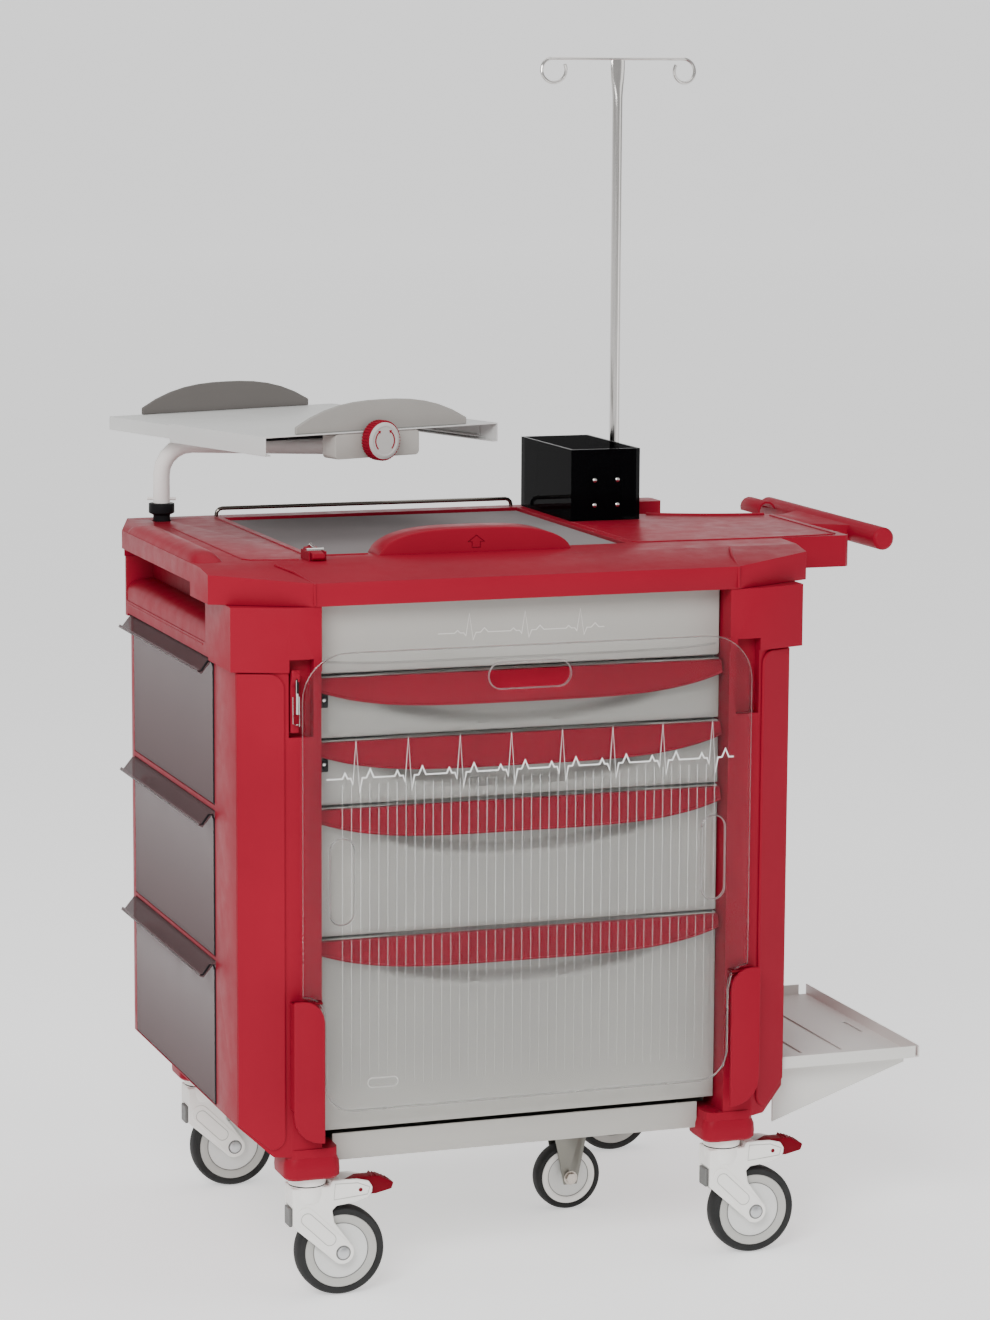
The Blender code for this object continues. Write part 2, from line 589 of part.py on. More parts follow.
def drawer(index):
    low, high = DRAWER_EDGES[index] + 0.0020, DRAWER_EDGES[index + 1] - 0.0020
    number = 4 - index
    front = prism(round_rect(-DRAWER_HALF, DRAWER_HALF, low, high, 0.003, 1), "Y", 0.0, PANEL)
    body = node(f"drawer_{number}", front, BEIGE_PAINT)
    floor, rim = low + 0.040, high - 0.020
    if high - low < 0.12:
        floor = low + 0.0395
    fuse(body, block(-0.2745, 0.2745, PANEL - 0.002, DRAWER_BACK, floor, rim))
    cut(body, block(-0.2745 + WALL, 0.2745 - WALL, PANEL + 0.001, DRAWER_BACK - WALL, floor + WALL, rim + 0.02))
    scoop = [(0.205 * math.cos(math.radians(a)), high - 0.030 - 0.042 * math.sin(math.radians(a)))
             for a in range(0, 181, 20)]
    cut(body, prism(scoop, "Y", -0.01, 0.0100))


def drawer_pull(index):
    """Crescent pull: level top, lower edge bowed down, hollow behind for the fingers."""
    high = DRAWER_EDGES[index + 1] - 0.0030
    half, end, deep = DRAWER_HALF - 0.001, 0.018, 0.055
    lower = []
    for i in range(17):
        s = -1 + i / 8
        lower.append((half * s, high - end - (deep - end) * (1 - abs(s) ** 2.2)))
    outline = lower + [(half, high), (-half, high)]
    pull = node(f"drawer_pull_{4 - index}", prism(outline, "Y", -0.0190, -GAP), RED_PLASTIC)
    cut(pull, block(-0.200, 0.200, -0.0150, 0.01, high - 0.080, high - 0.008))


def door_outline():
    """Front door: big upper corners and lower corners stepped in round the guards."""
    step, notch = GUARD_INNER - 0.0015, GUARD_HIGH + 0.0020
    right = [(step - 0.040 + 0.040 * math.cos(math.radians(a)),
              DOOR_LOW + 0.040 + 0.040 * math.sin(math.radians(a))) for a in (-90, -60, -30, 0)]
    right += [(step, notch - 0.034)]
    right += [(step + 0.030 - 0.030 * math.cos(math.radians(a)),
               notch - 0.030 + 0.030 * math.sin(math.radians(a))) for a in (30, 60, 90)]
    right += [(DOOR_HALF, notch)]
    right += arc(DOOR_HALF - 0.062, DOOR_HIGH - 0.062, 0.062, 0, 90, 6)
    left = [(-x, z) for x, z in reversed(right)]
    return right + left


def clear_door():
    front = DOOR_BACK - DOOR_SHEET
    door = node("clear_door", prism(door_outline(), "Y", front, DOOR_BACK), CLEAR, (0, DOOR_BACK, DOOR_LOW))
    cut(door, prism(round_rect(-0.0610, 0.0560, 0.834, 0.870, 0.0175, 4), "Y", -0.06, -0.02))
    for mid in (-0.268, 0.268):
        cut(door, prism(round_rect(mid - 0.017, mid + 0.017, 0.524, 0.642, 0.0165, 4), "Y", -0.06, -0.02))


LATCH_HINGE = (-0.3290, -0.0220, 0.7920)


def door_latch():
    """Red lever in the left post's pocket; its seal hooks over the door's edge."""
    side = [(-0.0285, 0.7860), (-0.0180, 0.7860), (-0.0165, 0.8600), (-0.0330, 0.8720), (-0.0370, 0.8640),
            (-0.0270, 0.8480)]
    node("door_latch", prism(side, "X", -0.3350, -0.3230), RED_PLASTIC, LATCH_HINGE)


def tilt_bin(index):
    """Smoked bin: tall front with a hooked lip, floor, cheeks and a lower back."""
    floor = BIN_FLOORS[index] + PLAY
    face = -SIDE_X
    high = floor + BIN_HEIGHT - 2 * PLAY
    y0, y1 = BIN_Y[0] + PLAY, BIN_Y[1] - PLAY
    section = [(face, floor), (face + BIN_DEPTH, floor), (face + BIN_DEPTH, floor + 0.115), (face + 0.003, high - 0.004),
               (face + 0.003, high), (face - 0.004, high), (face - 0.017, high - 0.016),
               (face - 0.021, high - 0.014), (face - 0.023, high - 0.018), (face - 0.017, high - 0.021),
               (face - 0.003, high - 0.004), (face, high - 0.006)]
    bin_node = node(f"tilt_bin_{3 - index}", prism(section, "Y", y0, y1), SMOKED, (face, y0, floor))
    inside = [(face + 0.003, floor + 0.003), (face + BIN_DEPTH - 0.003, floor + 0.003),
              (face + BIN_DEPTH - 0.003, high + 0.05), (face + 0.003, high + 0.05)]
    cut(bin_node, prism(inside, "Y", y0 + 0.003, y1 - 0.003))


# ---------------------------------------------------------------- running gear

def caster_fork(name, x, y):
    """Moulded fork that trails to the right of its stem, with the axle through its legs."""
    side = [(-0.024, FORK_TOP - 0.002), (-0.026, 0.150), (-0.025, 0.100), (0.022, 0.053),
            (0.036, 0.046), (0.048, 0.045), (0.060, 0.054), (0.061, 0.068), (0.024, 0.108),
            (0.022, 0.130), (0.060, 0.1315), (0.084, 0.1390), (0.088, 0.1500), (0.082, 0.1620), (0.066, 0.1660),
            (0.030, FORK_TOP - 0.001)]
    fork = node(name, prism([(x + u, z) for u, z in side], "Y", y - 0.0215, y + 0.0215), (BEIGE, 0.40), (x, y, 0.0))
    fuse(fork, disc(x, y, 0.0255, "Z", 0.140, FORK_TOP), disc(x, y, 0.0112, "Z", 0.160, 0.2025, 16))
    cut(fork, block(x - 0.05, x + 0.13, y - 0.0165, y + 0.0165, 0.03, 0.1285))
    cut(fork, block(x + 0.048, x + 0.13, y - 0.0125, y + 0.0125, 0.12, 0.20))
    fuse(fork, disc(x + TRAIL, WHEEL_R, AXLE_R, "Y", y - 0.0240, y + 0.0240, 16))


def wheel(name, x, y, radius, half):
    rim, web = radius - 0.004, half - 0.005
    profile = [(AXLE_R + GAP, -half + 0.001), (0.020, -half + 0.001), (0.023, -web), (radius - 0.021, -web),
               (radius - 0.017, -half), (rim, -half), (radius, -half + 0.005),
               (radius, half - 0.005), (rim, half), (radius - 0.017, half), (radius - 0.021, web),
               (0.023, web), (0.020, half - 0.001), (AXLE_R + GAP, half - 0.001)]
    node(name, turned(profile, (x, y, radius), "Y", 24), TYRE, (x, y, radius), True)


def brake_pedal(name, x, y):
    side = [(0.0530, 0.1440), (0.0620, 0.1390), (0.0950, 0.1380), (0.1180, 0.1430), (0.1210, 0.1520),
            (0.1000, 0.1630), (0.0700, 0.1630), (0.0550, 0.1560)]
    node(name, prism([(x + u, z) for u, z in side], "Y", y - 0.0115, y + 0.0115), RED_PLASTIC, (x + 0.062, y, 0.150))


def running_gear():
    corners = (("front_left", -STEM_X, STEM_Y[0], True), ("front_right", STEM_X, STEM_Y[0], True),
               ("rear_left", -STEM_X, STEM_Y[1], False), ("rear_right", STEM_X, STEM_Y[1], False))
    for place_name, x, y, brake in corners:
        caster_fork(f"caster_fork_{place_name}", x, y)
        wheel(f"wheel_{place_name}", x + TRAIL, y, WHEEL_R, WHEEL_HALF)
        if brake:
            brake_pedal(f"brake_pedal_{place_name}", x, y)


def fifth_wheel():
    """Fixed tracking wheel under the pan, in a pressed fork on a channel."""
    x, y = FIFTH_AT
    channel = node("fifth_wheel_channel", block(x - 0.090, x + 0.090, y - 0.045, y + 0.045, 0.1500, 0.1858),
                   BEIGE_PAINT)
    cut(channel, block(x - 0.10, x + 0.10, y - 0.042, y + 0.042, 0.1530, 0.1828))
    side = [(x - 0.026, 0.1496), (x - 0.026, 0.120), (x - 0.010, 0.040), (x + 0.010, 0.040),
            (x + 0.026, 0.120), (x + 0.026, 0.1496)]
    fork = node("fifth_wheel_fork", prism(side, "Y", y - 0.0200, y + 0.0200), ((0.30, 0.31, 0.28), 0.35, 0.6))
    cut(fork, block(x - 0.05, x + 0.05, y - 0.0170, y + 0.0170, 0.02, 0.1460))
    fuse(fork, disc(x, FIFTH_R, AXLE_R, "Y", y - 0.0240, y + 0.0240, 16))
    wheel("fifth_wheel", x, y, FIFTH_R, 0.0125)


# ---------------------------------------------------------------- build

def build():
    base_pan()
    left_side_shell()
    right_side_shell()
    back_panel()
    runner_panel("left_runner_panel", -1)
    runner_panel("right_runner_panel", 1)
    front_fascia()
    door_guard("door_guard_left", -1)
    door_guard("door_guard_right", 1)
    top_cover()
    storage_tray()
    top_lid()
    lid_pull()
    lid_latch()
    rear_rail()
    push_handle()
    cable_hook()
    acrylic_box()
    box_brackets()
    iv_pole_tube()
    iv_pole_clamp()
    iv_pole_rod()
    side_tray()
    side_tray_bracket()
    shelf_collar()
    shelf_arm()
    shelf_hub()
    shelf_plates()
    shelf_guards()
    shelf_clamp()
    shelf_knob()
    for index in range(4):
        drawer(index)
        drawer_pull(index)
    clear_door()
    door_latch()
    for index in range(3):
        tilt_bin(index)
    running_gear()
    fifth_wheel()


for old in list(bpy.data.objects):
    bpy.data.objects.remove(old)
CART = bpy.data.objects.new("cart_origin", None)
bpy.context.collection.objects.link(CART)
CART.location = (CART_X, CART_Y, 0)
build()
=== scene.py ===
"""Emergency crash cart: the visual model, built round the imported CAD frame."""
import json
import math

import bmesh
import bpy
from mathutils import Matrix, Vector

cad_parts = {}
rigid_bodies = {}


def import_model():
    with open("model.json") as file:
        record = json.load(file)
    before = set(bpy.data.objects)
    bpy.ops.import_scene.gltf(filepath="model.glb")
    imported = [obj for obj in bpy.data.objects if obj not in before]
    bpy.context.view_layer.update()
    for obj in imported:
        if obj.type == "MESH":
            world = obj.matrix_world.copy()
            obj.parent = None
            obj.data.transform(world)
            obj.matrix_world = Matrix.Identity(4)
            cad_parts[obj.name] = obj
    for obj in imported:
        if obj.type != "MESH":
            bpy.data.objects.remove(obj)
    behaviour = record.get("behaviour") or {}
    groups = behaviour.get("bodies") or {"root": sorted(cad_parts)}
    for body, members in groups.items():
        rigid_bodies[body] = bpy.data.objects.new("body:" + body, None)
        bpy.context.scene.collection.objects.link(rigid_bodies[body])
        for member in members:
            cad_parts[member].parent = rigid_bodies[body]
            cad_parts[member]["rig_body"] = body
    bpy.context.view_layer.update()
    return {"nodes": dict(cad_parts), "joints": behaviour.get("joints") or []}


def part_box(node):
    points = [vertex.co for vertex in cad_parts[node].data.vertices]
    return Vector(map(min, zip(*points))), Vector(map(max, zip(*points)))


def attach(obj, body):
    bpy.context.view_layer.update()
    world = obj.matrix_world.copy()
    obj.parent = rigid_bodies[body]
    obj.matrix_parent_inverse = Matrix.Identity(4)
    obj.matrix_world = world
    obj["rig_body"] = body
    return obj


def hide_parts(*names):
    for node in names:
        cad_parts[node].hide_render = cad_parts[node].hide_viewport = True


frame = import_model()

# Cabinet coordinates: X from the middle of the cabinet, Y from the drawer fronts, Z from the floor
_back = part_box("back_panel")
SHIFT = Vector((0.5 * (_back[0].x + _back[1].x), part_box("front_fascia")[0].y, 0))

# Lengths in metres, in cabinet coordinates
STEM_X, STEM_Y = 0.305, {"front": 0.002, "rear": 0.552}  # caster stems, either side of the middle
AXLE_TRAIL, AXLE_HEIGHT = 0.045, 0.0625  # a caster's axle: behind its stem, and above the floor
FIFTH_AXLE = Vector((0.175, 0.280, 0.050))
TOP_HEIGHT = 1.0  # worktop
FRONT_BACK = 0.0180  # rear face of the drawer fronts
CATCH_DROP = 0.030  # corner catches, below a drawer's top edge
PULL_END_DROP, PULL_BELLY = 0.018, 0.0250  # a pull's height at its ends, and what its middle adds
UP, SIDEWAYS = (0, 0, 1), (1, 0, 0)


def local(node):
    """A CAD node's box in cabinet coordinates."""
    low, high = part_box(node)
    return low - SHIFT, high - SHIFT


# ---------------------------------------------------------------- materials

class Nodes:
    """Small helper that writes one node material."""

    def __init__(self, name):
        self.mat = bpy.data.materials.new(name)
        self.mat.use_nodes = True
        self.tree = self.mat.node_tree
        self.shader = self.tree.nodes["Principled BSDF"]
        self.where = self.add("ShaderNodeTexCoord").outputs["Object"]

    def add(self, kind, **settings):
        made = self.tree.nodes.new(kind)
        for key, value in settings.items():
            setattr(made, key, value)
        return made

    def link(self, a, b):
        self.tree.links.new(a, b)

    def set(self, **values):
        for key, value in values.items():
            socket = self.shader.inputs[key.replace("_", " ")]
            socket.default_value = (*value, 1.0) if isinstance(value, tuple) and len(value) == 3 else value

    def noise(self, scale, detail=3.0, stretch=None, rough=0.5):
        """A noise texture in object coordinates; a small stretch factor draws it out along that axis."""
        source = self.where
        if stretch:
            squeeze = self.add("ShaderNodeMapping")
            squeeze.inputs["Scale"].default_value = stretch
            self.link(source, squeeze.inputs["Vector"])
            source = squeeze.outputs["Vector"]
        made = self.add("ShaderNodeTexNoise")
        made.inputs["Scale"].default_value = scale
        made.inputs["Detail"].default_value = detail
        made.inputs["Roughness"].default_value = rough
        self.link(source, made.inputs["Vector"])
        return made.outputs["Fac"]

    def ramp(self, source, stops):
        """Maps a texture's value to shades at (place, shade) stops."""
        made = self.add("ShaderNodeValToRGB")
        band = made.color_ramp
        while len(band.elements) < len(stops):
            band.elements.new(0.5)
        for element, (place, shade) in zip(band.elements, stops):
            element.position = place
            element.color = (*shade, 1.0) if isinstance(shade, tuple) else (shade, shade, shade, 1.0)
        self.link(source, made.inputs["Fac"])
        return made.outputs["Color"]

    def colour(self, source, stops):
        self.link(self.ramp(source, stops), self.shader.inputs["Base Color"])

    def roughness(self, source, low, high):
        self.link(self.ramp(source, [(0.3, low), (0.7, high)]), self.shader.inputs["Roughness"])

    def bump(self, source, height, strength=1.0):
        """Adds a bump on top of the ones already there."""
        made = self.add("ShaderNodeBump")
        made.inputs["Distance"].default_value = height
        made.inputs["Strength"].default_value = strength
        self.link(source, made.inputs["Height"])
        last = self.shader.inputs["Normal"]
        if last.is_linked:
            self.link(last.links[0].from_socket, made.inputs["Normal"])
        self.link(made.outputs["Normal"], last)


def scaled(colour, k):
    """A colour made lighter or darker by a factor."""
    return tuple(min(1.0, c * k) for c in colour)


def moulded(name, colour, rough=(0.30, 0.42), grain=0.00004, grain_scale=900.0, gloss=0.06):
    """Injection-moulded plastic: faint flow tone, fine leather-like grain, soft wear."""
    n = Nodes(name)
    n.colour(n.noise(6.0, 4.0), [(0.3, scaled(colour, 0.93)), (0.7, scaled(colour, 1.05))])
    n.roughness(n.noise(35.0, 5.0, rough=0.6), *rough)
    n.bump(n.noise(grain_scale, 2.0), grain)
    n.bump(n.noise(60.0, 2.0), 0.00008, 0.35)
    n.set(IOR=1.48, Specular_IOR_Level=gloss)
    return n.mat


def painted(name, colour, rough=(0.36, 0.46)):
    """Powder-coated sheet: tight orange peel and a little tone drift."""
    n = Nodes(name)
    n.colour(n.noise(4.0, 3.0), [(0.3, scaled(colour, 0.965)), (0.7, scaled(colour, 1.02))])
    n.roughness(n.noise(18.0, 4.0), *rough)
    n.bump(n.noise(420.0, 3.0), 0.00003, 0.4)
    n.set(IOR=1.5, Specular_IOR_Level=0.3)
    return n.mat


def polished(name, colour, rough=(0.10, 0.20), along=(1.0, 1.0, 0.02)):
    """Drawn metal with fine lines along the length."""
    n = Nodes(name)
    n.colour(n.noise(9.0, 3.0), [(0.3, scaled(colour, 0.92)), (0.7, colour)])
    n.roughness(n.noise(900.0, 2.0, along), *rough)
    n.bump(n.noise(1400.0, 2.0, along), 0.00001, 0.5)
    n.set(Metallic=1.0)
    return n.mat


def see_through(name, colour, rough=(0.03, 0.08), bend=1.49):
    """Clear acrylic; a low bend keeps the bright room's mirror image off a thin sheet."""
    n = Nodes(name)
    n.colour(n.noise(5.0, 2.0), [(0.3, scaled(colour, 0.98)), (0.7, colour)])
    n.roughness(n.noise(25.0, 4.0), *rough)
    n.set(Transmission_Weight=1.0, IOR=bend)
    return n.mat


def tinted(name, colour, cover, rough=(0.06, 0.12), gloss=0.2):
    """Smoked plastic: a dark tint that lets part of what is behind it through."""
    n = Nodes(name)
    n.colour(n.noise(7.0, 3.0), [(0.3, scaled(colour, 0.94)), (0.7, colour)])
    n.roughness(n.noise(25.0, 4.0), *rough)
    n.bump(n.noise(14.0, 2.0), 0.00004, 0.2)
    n.set(Alpha=cover, IOR=1.45, Specular_IOR_Level=gloss)
    return n.mat


def rubber():
    """Matt black tyre rubber."""
    n = Nodes("tyre_rubber")
    n.colour(n.noise(40.0, 5.0), [(0.3, 0.018), (0.7, 0.026)])
    n.roughness(n.noise(60.0, 5.0), 0.55, 0.72)
    n.set(Specular_IOR_Level=0.2)
    n.bump(n.noise(500.0, 4.0), 0.00012, 0.6)
    return n.mat


def faded_print():
    """White ink that fades out towards the bottom of the door."""
    n = Nodes("faded_print")
    split = n.add("ShaderNodeSeparateXYZ")
    n.link(n.where, split.inputs["Vector"])
    fade = n.add("ShaderNodeMapRange")
    for key, value in (("From Min", 0.28), ("From Max", 0.70), ("To Min", 0.04), ("To Max", 0.24)):
        fade.inputs[key].default_value = value
    n.link(split.outputs["Z"], fade.inputs["Value"])
    n.link(fade.outputs["Result"], n.shader.inputs["Alpha"])
    n.colour(n.noise(60.0), [(0.3, 0.80), (0.7, 0.88)])
    n.set(Roughness=0.5)
    return n.mat


RED = moulded("red_plastic", (0.262, 0.008, 0.022))
RED_DEEP = moulded("red_plastic_deep", (0.15, 0.003, 0.010))
BEIGE = painted("beige_paint", (0.42, 0.405, 0.375))
DRAWER = painted("drawer_paint", (0.385, 0.375, 0.346))
PALE = painted("pale_paint", (0.66, 0.65, 0.62))
SHELF = painted("shelf_paint", (0.60, 0.60, 0.585))
GUARD = moulded("guard_plastic", (0.32, 0.31, 0.29), rough=(0.38, 0.5), grain=0.00006)
# Painted shade: a darker copy of the guard plastic, used for the shelf's rear guard.
GUARD_SHADED = moulded("guard_plastic_shaded", (0.135, 0.125, 0.118), rough=(0.38, 0.5), grain=0.00006)
ARM = painted("arm_paint", (0.86, 0.82, 0.79), rough=(0.22, 0.30))
GREY_PLASTIC = moulded("grey_plastic", (0.17, 0.17, 0.165), grain=0.00006, grain_scale=700.0)
GREY_FACE = moulded("knob_face", (0.50, 0.49, 0.47))
CREAM = moulded("cream_plastic", (0.90, 0.885, 0.85), rough=(0.26, 0.36))
RING = moulded("ring_plastic", (0.47, 0.465, 0.44), rough=(0.34, 0.44))
HUB = moulded("hub_plastic", (0.72, 0.72, 0.70), rough=(0.26, 0.36), gloss=0.4)
DARK_STEEL = polished("dark_steel", (0.20, 0.18, 0.16))
BLACK = moulded("black_plastic", (0.012, 0.012, 0.013))
STEEL = polished("polished_steel", (0.62, 0.60, 0.58))
SATIN = polished("satin_steel", (0.55, 0.50, 0.45), rough=(0.24, 0.36))
CAP = polished("cap_steel", (0.60, 0.61, 0.62), rough=(0.34, 0.44), along=(1.0, 1.0, 1.0))
ZINC = polished("zinc_plate", (0.22, 0.215, 0.19), rough=(0.30, 0.42), along=(1.0, 1.0, 1.0))
SMOKED = tinted("smoked_plastic", (0.115, 0.066, 0.069), 0.74, gloss=0.02)
# Smoked lid with its gloss off: the colour is partly the lid's own smoked tint and partly painted sheen standing in
# for its grazing reflection.
LID_TINT_AND_SHEEN = tinted("smoked_lid_tint_and_painted_sheen", (0.240, 0.218, 0.218), 0.92, gloss=0.0)
DARK_BOX = tinted("dark_acrylic", (0.002, 0.002, 0.0025), 0.88, rough=(0.03, 0.06), gloss=0.01)
CLEAR = see_through("clear_acrylic", (0.965, 0.97, 0.97), rough=(0.0, 0.004), bend=1.20)
# Bright frosted strips for the door's cut edges and the bins' lips: painted highlight where light catches the
# acrylic edges.
EDGE_HIGHLIGHT = see_through("painted_edge_highlight", (0.86, 0.86, 0.85), rough=(0.25, 0.40))
PRINT = moulded("white_print", (0.80, 0.80, 0.79), grain=0.0)
FADED = faded_print()
TYRE = rubber()


# ---------------------------------------------------------------- mesh helpers

def finish_mesh(obj, width=0.0, segments=2, limit=30.0):
    """Rounds the edges with a bevel and shades what is round as round."""
    obj.data.shade_smooth()
    if width:
        step = obj.modifiers.new("Rounded edges", "BEVEL")
        step.width, step.segments = width, segments
        step.limit_method, step.angle_limit = "ANGLE", math.radians(limit)
        step.use_clamp_overlap = True
        step.harden_normals = True
    else:
        obj.data.set_sharp_from_angle(angle=math.radians(limit))


def cleaned(node):
    """A welded copy of a CAD node's mesh, in cabinet coordinates, with its flat faces joined up again."""
    bm = bmesh.new()
    bm.from_mesh(frame["nodes"][node].data)
    bmesh.ops.remove_doubles(bm, verts=bm.verts, dist=0.00002)
    bmesh.ops.dissolve_limit(bm, angle_limit=math.radians(0.6), verts=bm.verts, edges=bm.edges)
    bmesh.ops.translate(bm, verts=bm.verts, vec=-SHIFT)
    return bm


def publish(name, bm, mat, body, width=0.0, segments=2, limit=30.0, hides=()):
    """Turns a bmesh in cabinet coordinates into a piece that rides on a body and takes its finish from a slot."""
    bmesh.ops.translate(bm, verts=bm.verts, vec=SHIFT)
    bmesh.ops.recalc_face_normals(bm, faces=bm.faces)
    mesh = bpy.data.meshes.new(name)
    bm.to_mesh(mesh)
    bm.free()
    obj = bpy.data.objects.new(name, mesh)
    bpy.context.scene.collection.objects.link(obj)
    mesh.materials.append(mat)
    finish_mesh(obj, width, segments, limit)
    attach(obj, body)
    if hides:
        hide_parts(*hides)
    return obj


def body_of(node):
    """The moving body a CAD node belongs to."""
    return frame["nodes"][node]["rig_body"]


def refine(node, mat, width=0.0012, segments=2, limit=30.0):
    """The CAD shape again, welded, with rounded edges and a finished material."""
    bm = cleaned(node)
    for face in bm.faces:
        face.material_index = 0
    return publish(f"{node}_look", bm, mat, body_of(node), width, segments, limit, [node])


def detail(name, bm, mat, node, width=0.0, segments=2, limit=30.0):
    """An extra piece that goes with a CAD node."""
    return publish(name, bm, mat, body_of(node), width, segments, limit)


def prism(outline, axis, low, high):
    """Extrudes a flat outline along an axis; outline pairs are (x,y), (x,z) or (y,z)."""
    spot = {"Z": lambda u, v, w: (u, v, w), "Y": lambda u, v, w: (u, w, v), "X": lambda u, v, w: (w, u, v)}[axis]
    bm = bmesh.new()
    ends = [[bm.verts.new(spot(u, v, w)) for u, v in outline] for w in (low, high)]
    bm.faces.new(ends[0])
    bm.faces.new(ends[1][::-1])
    for i in range(len(outline)):
        j = (i + 1) % len(outline)
        bm.faces.new([ends[0][i], ends[0][j], ends[1][j], ends[1][i]])
    return bm


def block(x0, x1, y0, y1, z0, z1):
    """A plain box."""
    return prism([(x0, y0), (x1, y0), (x1, y1), (x0, y1)], "Z", z0, z1)


def arc(cx, cy, radius, start, end, steps):
    """Points along a circle, from one angle in degrees to another."""
    angles = [math.radians(start + (end - start) * i / steps) for i in range(steps + 1)]
    return [(cx + radius * math.cos(a), cy + radius * math.sin(a)) for a in angles]


def round_rect(x0, x1, y0, y1, radius, steps=8):
    """Closed loop of a rectangle with rounded corners."""
    return (arc(x1 - radius, y1 - radius, radius, 0, 90, steps)
            + arc(x0 + radius, y1 - radius, radius, 90, 180, steps)
            + arc(x0 + radius, y0 + radius, radius, 180, 270, steps)
            + arc(x1 - radius, y0 + radius, radius, 270, 360, steps))


def frame_of(direction):
    """A rotation that takes +Z to a direction."""
    return Vector(direction).to_track_quat("Z", "Y").to_matrix().to_4x4()


def revolve(profile, centre, direction=(0, 1, 0), sides=64):
    """Turns a closed loop of (radius, height) pairs about an axis; a radius of 0 makes a pole."""
    bm = bmesh.new()
    rings = []
    for radius, height in profile:
        count = 1 if radius == 0 else sides
        turns = [2 * math.pi * i / sides for i in range(count)]
        rings.append([bm.verts.new((radius * math.cos(t), radius * math.sin(t), height)) for t in turns])
    loops = list(zip(rings, rings[1:])) + ([(rings[-1], rings[0])] if profile[0][0] > 0 else [])
    for a, b in loops:
        for i in range(sides):
            j = (i + 1) % sides
            corners = [a[i % len(a)], a[j % len(a)], b[j % len(b)], b[i % len(b)]]
            bm.faces.new(list(dict.fromkeys(corners)))
    bmesh.ops.transform(bm, matrix=Matrix.Translation(centre) @ frame_of(direction), verts=bm.verts)
    return bm


def sweep(route, radius, sides=12, closed=False):
    """A round tube along points."""
    points = [Vector(p) for p in route]
    count = len(points)
    bm = bmesh.new()
    rings, side = [], None
    for i, point in enumerate(points):
        ahead = points[(i + 1) % count] if closed or i + 1 < count else point
        behind = points[i - 1] if closed or i else point
        along = (ahead - behind).normalized()
        if side is None:
            side = along.orthogonal().normalized()
        side = (side - along * side.dot(along)).normalized()
        other = along.cross(side)
        rings.append([bm.verts.new(point + radius * (math.cos(t) * side + math.sin(t) * other))
                      for t in (2 * math.pi * k / sides for k in range(sides))])
    for a, b in list(zip(rings, rings[1:])) + ([(rings[-1], rings[0])] if closed else []):
        for i in range(sides):
            j = (i + 1) % sides
            bm.faces.new([a[i], a[j], b[j], b[i]])
    if not closed:
        bm.faces.new(rings[0])
        bm.faces.new(rings[-1][::-1])
    return bm


def loft(sections):
    """Skins a list of equal-length closed loops of points and caps both ends."""
    bm = bmesh.new()
    rings = [[bm.verts.new(p) for p in section] for section in sections]
    for a, b in zip(rings, rings[1:]):
        for i in range(len(a)):
            j = (i + 1) % len(a)
            bm.faces.new([a[i], a[j], b[j], b[i]])
    bm.faces.new(rings[0])
    bm.faces.new(rings[-1][::-1])
    return bm


def join(*parts):
    """Several bmeshes in one; their solids stay separate shells."""
    whole = bmesh.new()
    for part in parts:
        mesh = bpy.data.meshes.new("join")
        part.to_mesh(mesh)
        part.free()
        whole.from_mesh(mesh)
        bpy.data.meshes.remove(mesh)
    return whole


def pill(cx, cz, half_w, half_h, steps=10):
    """Closed loop of a rounded slot in the XZ plane."""
    radius = 0.985 * min(half_w, half_h)
    return round_rect(cx - half_w, cx + half_w, cz - half_h, cz + half_h, radius, steps)


def capsule(ax, az, ar, bx, bz, br, steps=12):
    """Outline round two circles in the XZ plane."""
    lean = math.atan2(bz - az, bx - ax)
    outline = []
    for x, z, radius, start in ((ax, az, ar, lean + math.pi / 2), (bx, bz, br, lean - math.pi / 2)):
        turns = [start + math.pi * i / steps for i in range(steps + 1)]
        outline += [(x + radius * math.cos(t), z + radius * math.sin(t)) for t in turns]
    return outline


def ribbon(points, width, y0, y1):
    """A flat strip in the XZ plane along points, y0 to y1 thick."""
    left, right = [], []
    for i, (x, z) in enumerate(points):
        ax, az = points[max(i - 1, 0)]
        bx, bz = points[min(i + 1, len(points) - 1)]
        before = Vector((x - ax, z - az)).normalized() if i else Vector((bx - x, bz - z)).normalized()
        after = Vector((bx - x, bz - z)).normalized() if i + 1 < len(points) else before
        normal = Vector((-(before + after).y, (before + after).x)).normalized()
        mitre = max(0.45, normal.dot(Vector((-before.y, before.x))))
        reach = 0.5 * width / mitre
        left.append((x + normal.x * reach, z + normal.y * reach))
        right.append((x - normal.x * reach, z - normal.y * reach))
    strips = []
    for i in range(len(points) - 1):
        strips.append(prism([left[i], right[i], right[i + 1], left[i + 1]], "Y", y0, y1))
    return join(*strips)


def trace(x0, x1, level, tall, beats):
    """A plain row of pulses: one up-and-down spike and a low hump for each beat."""
    beat = [(0.0, 0), (0.30, 0), (0.35, 0.14), (0.40, 0), (0.46, 0), (0.50, -0.16), (0.56, 1.0),
            (0.63, -0.38), (0.68, 0), (0.76, 0.0), (0.83, 0.22), (0.90, 0)]
    step = (x1 - x0) / beats
    points = [(x0 + step * (k + u), level + tall * v) for k in range(beats) for u, v in beat]
    return points + [(x1, level)]


# ---------------------------------------------------------------- carcass

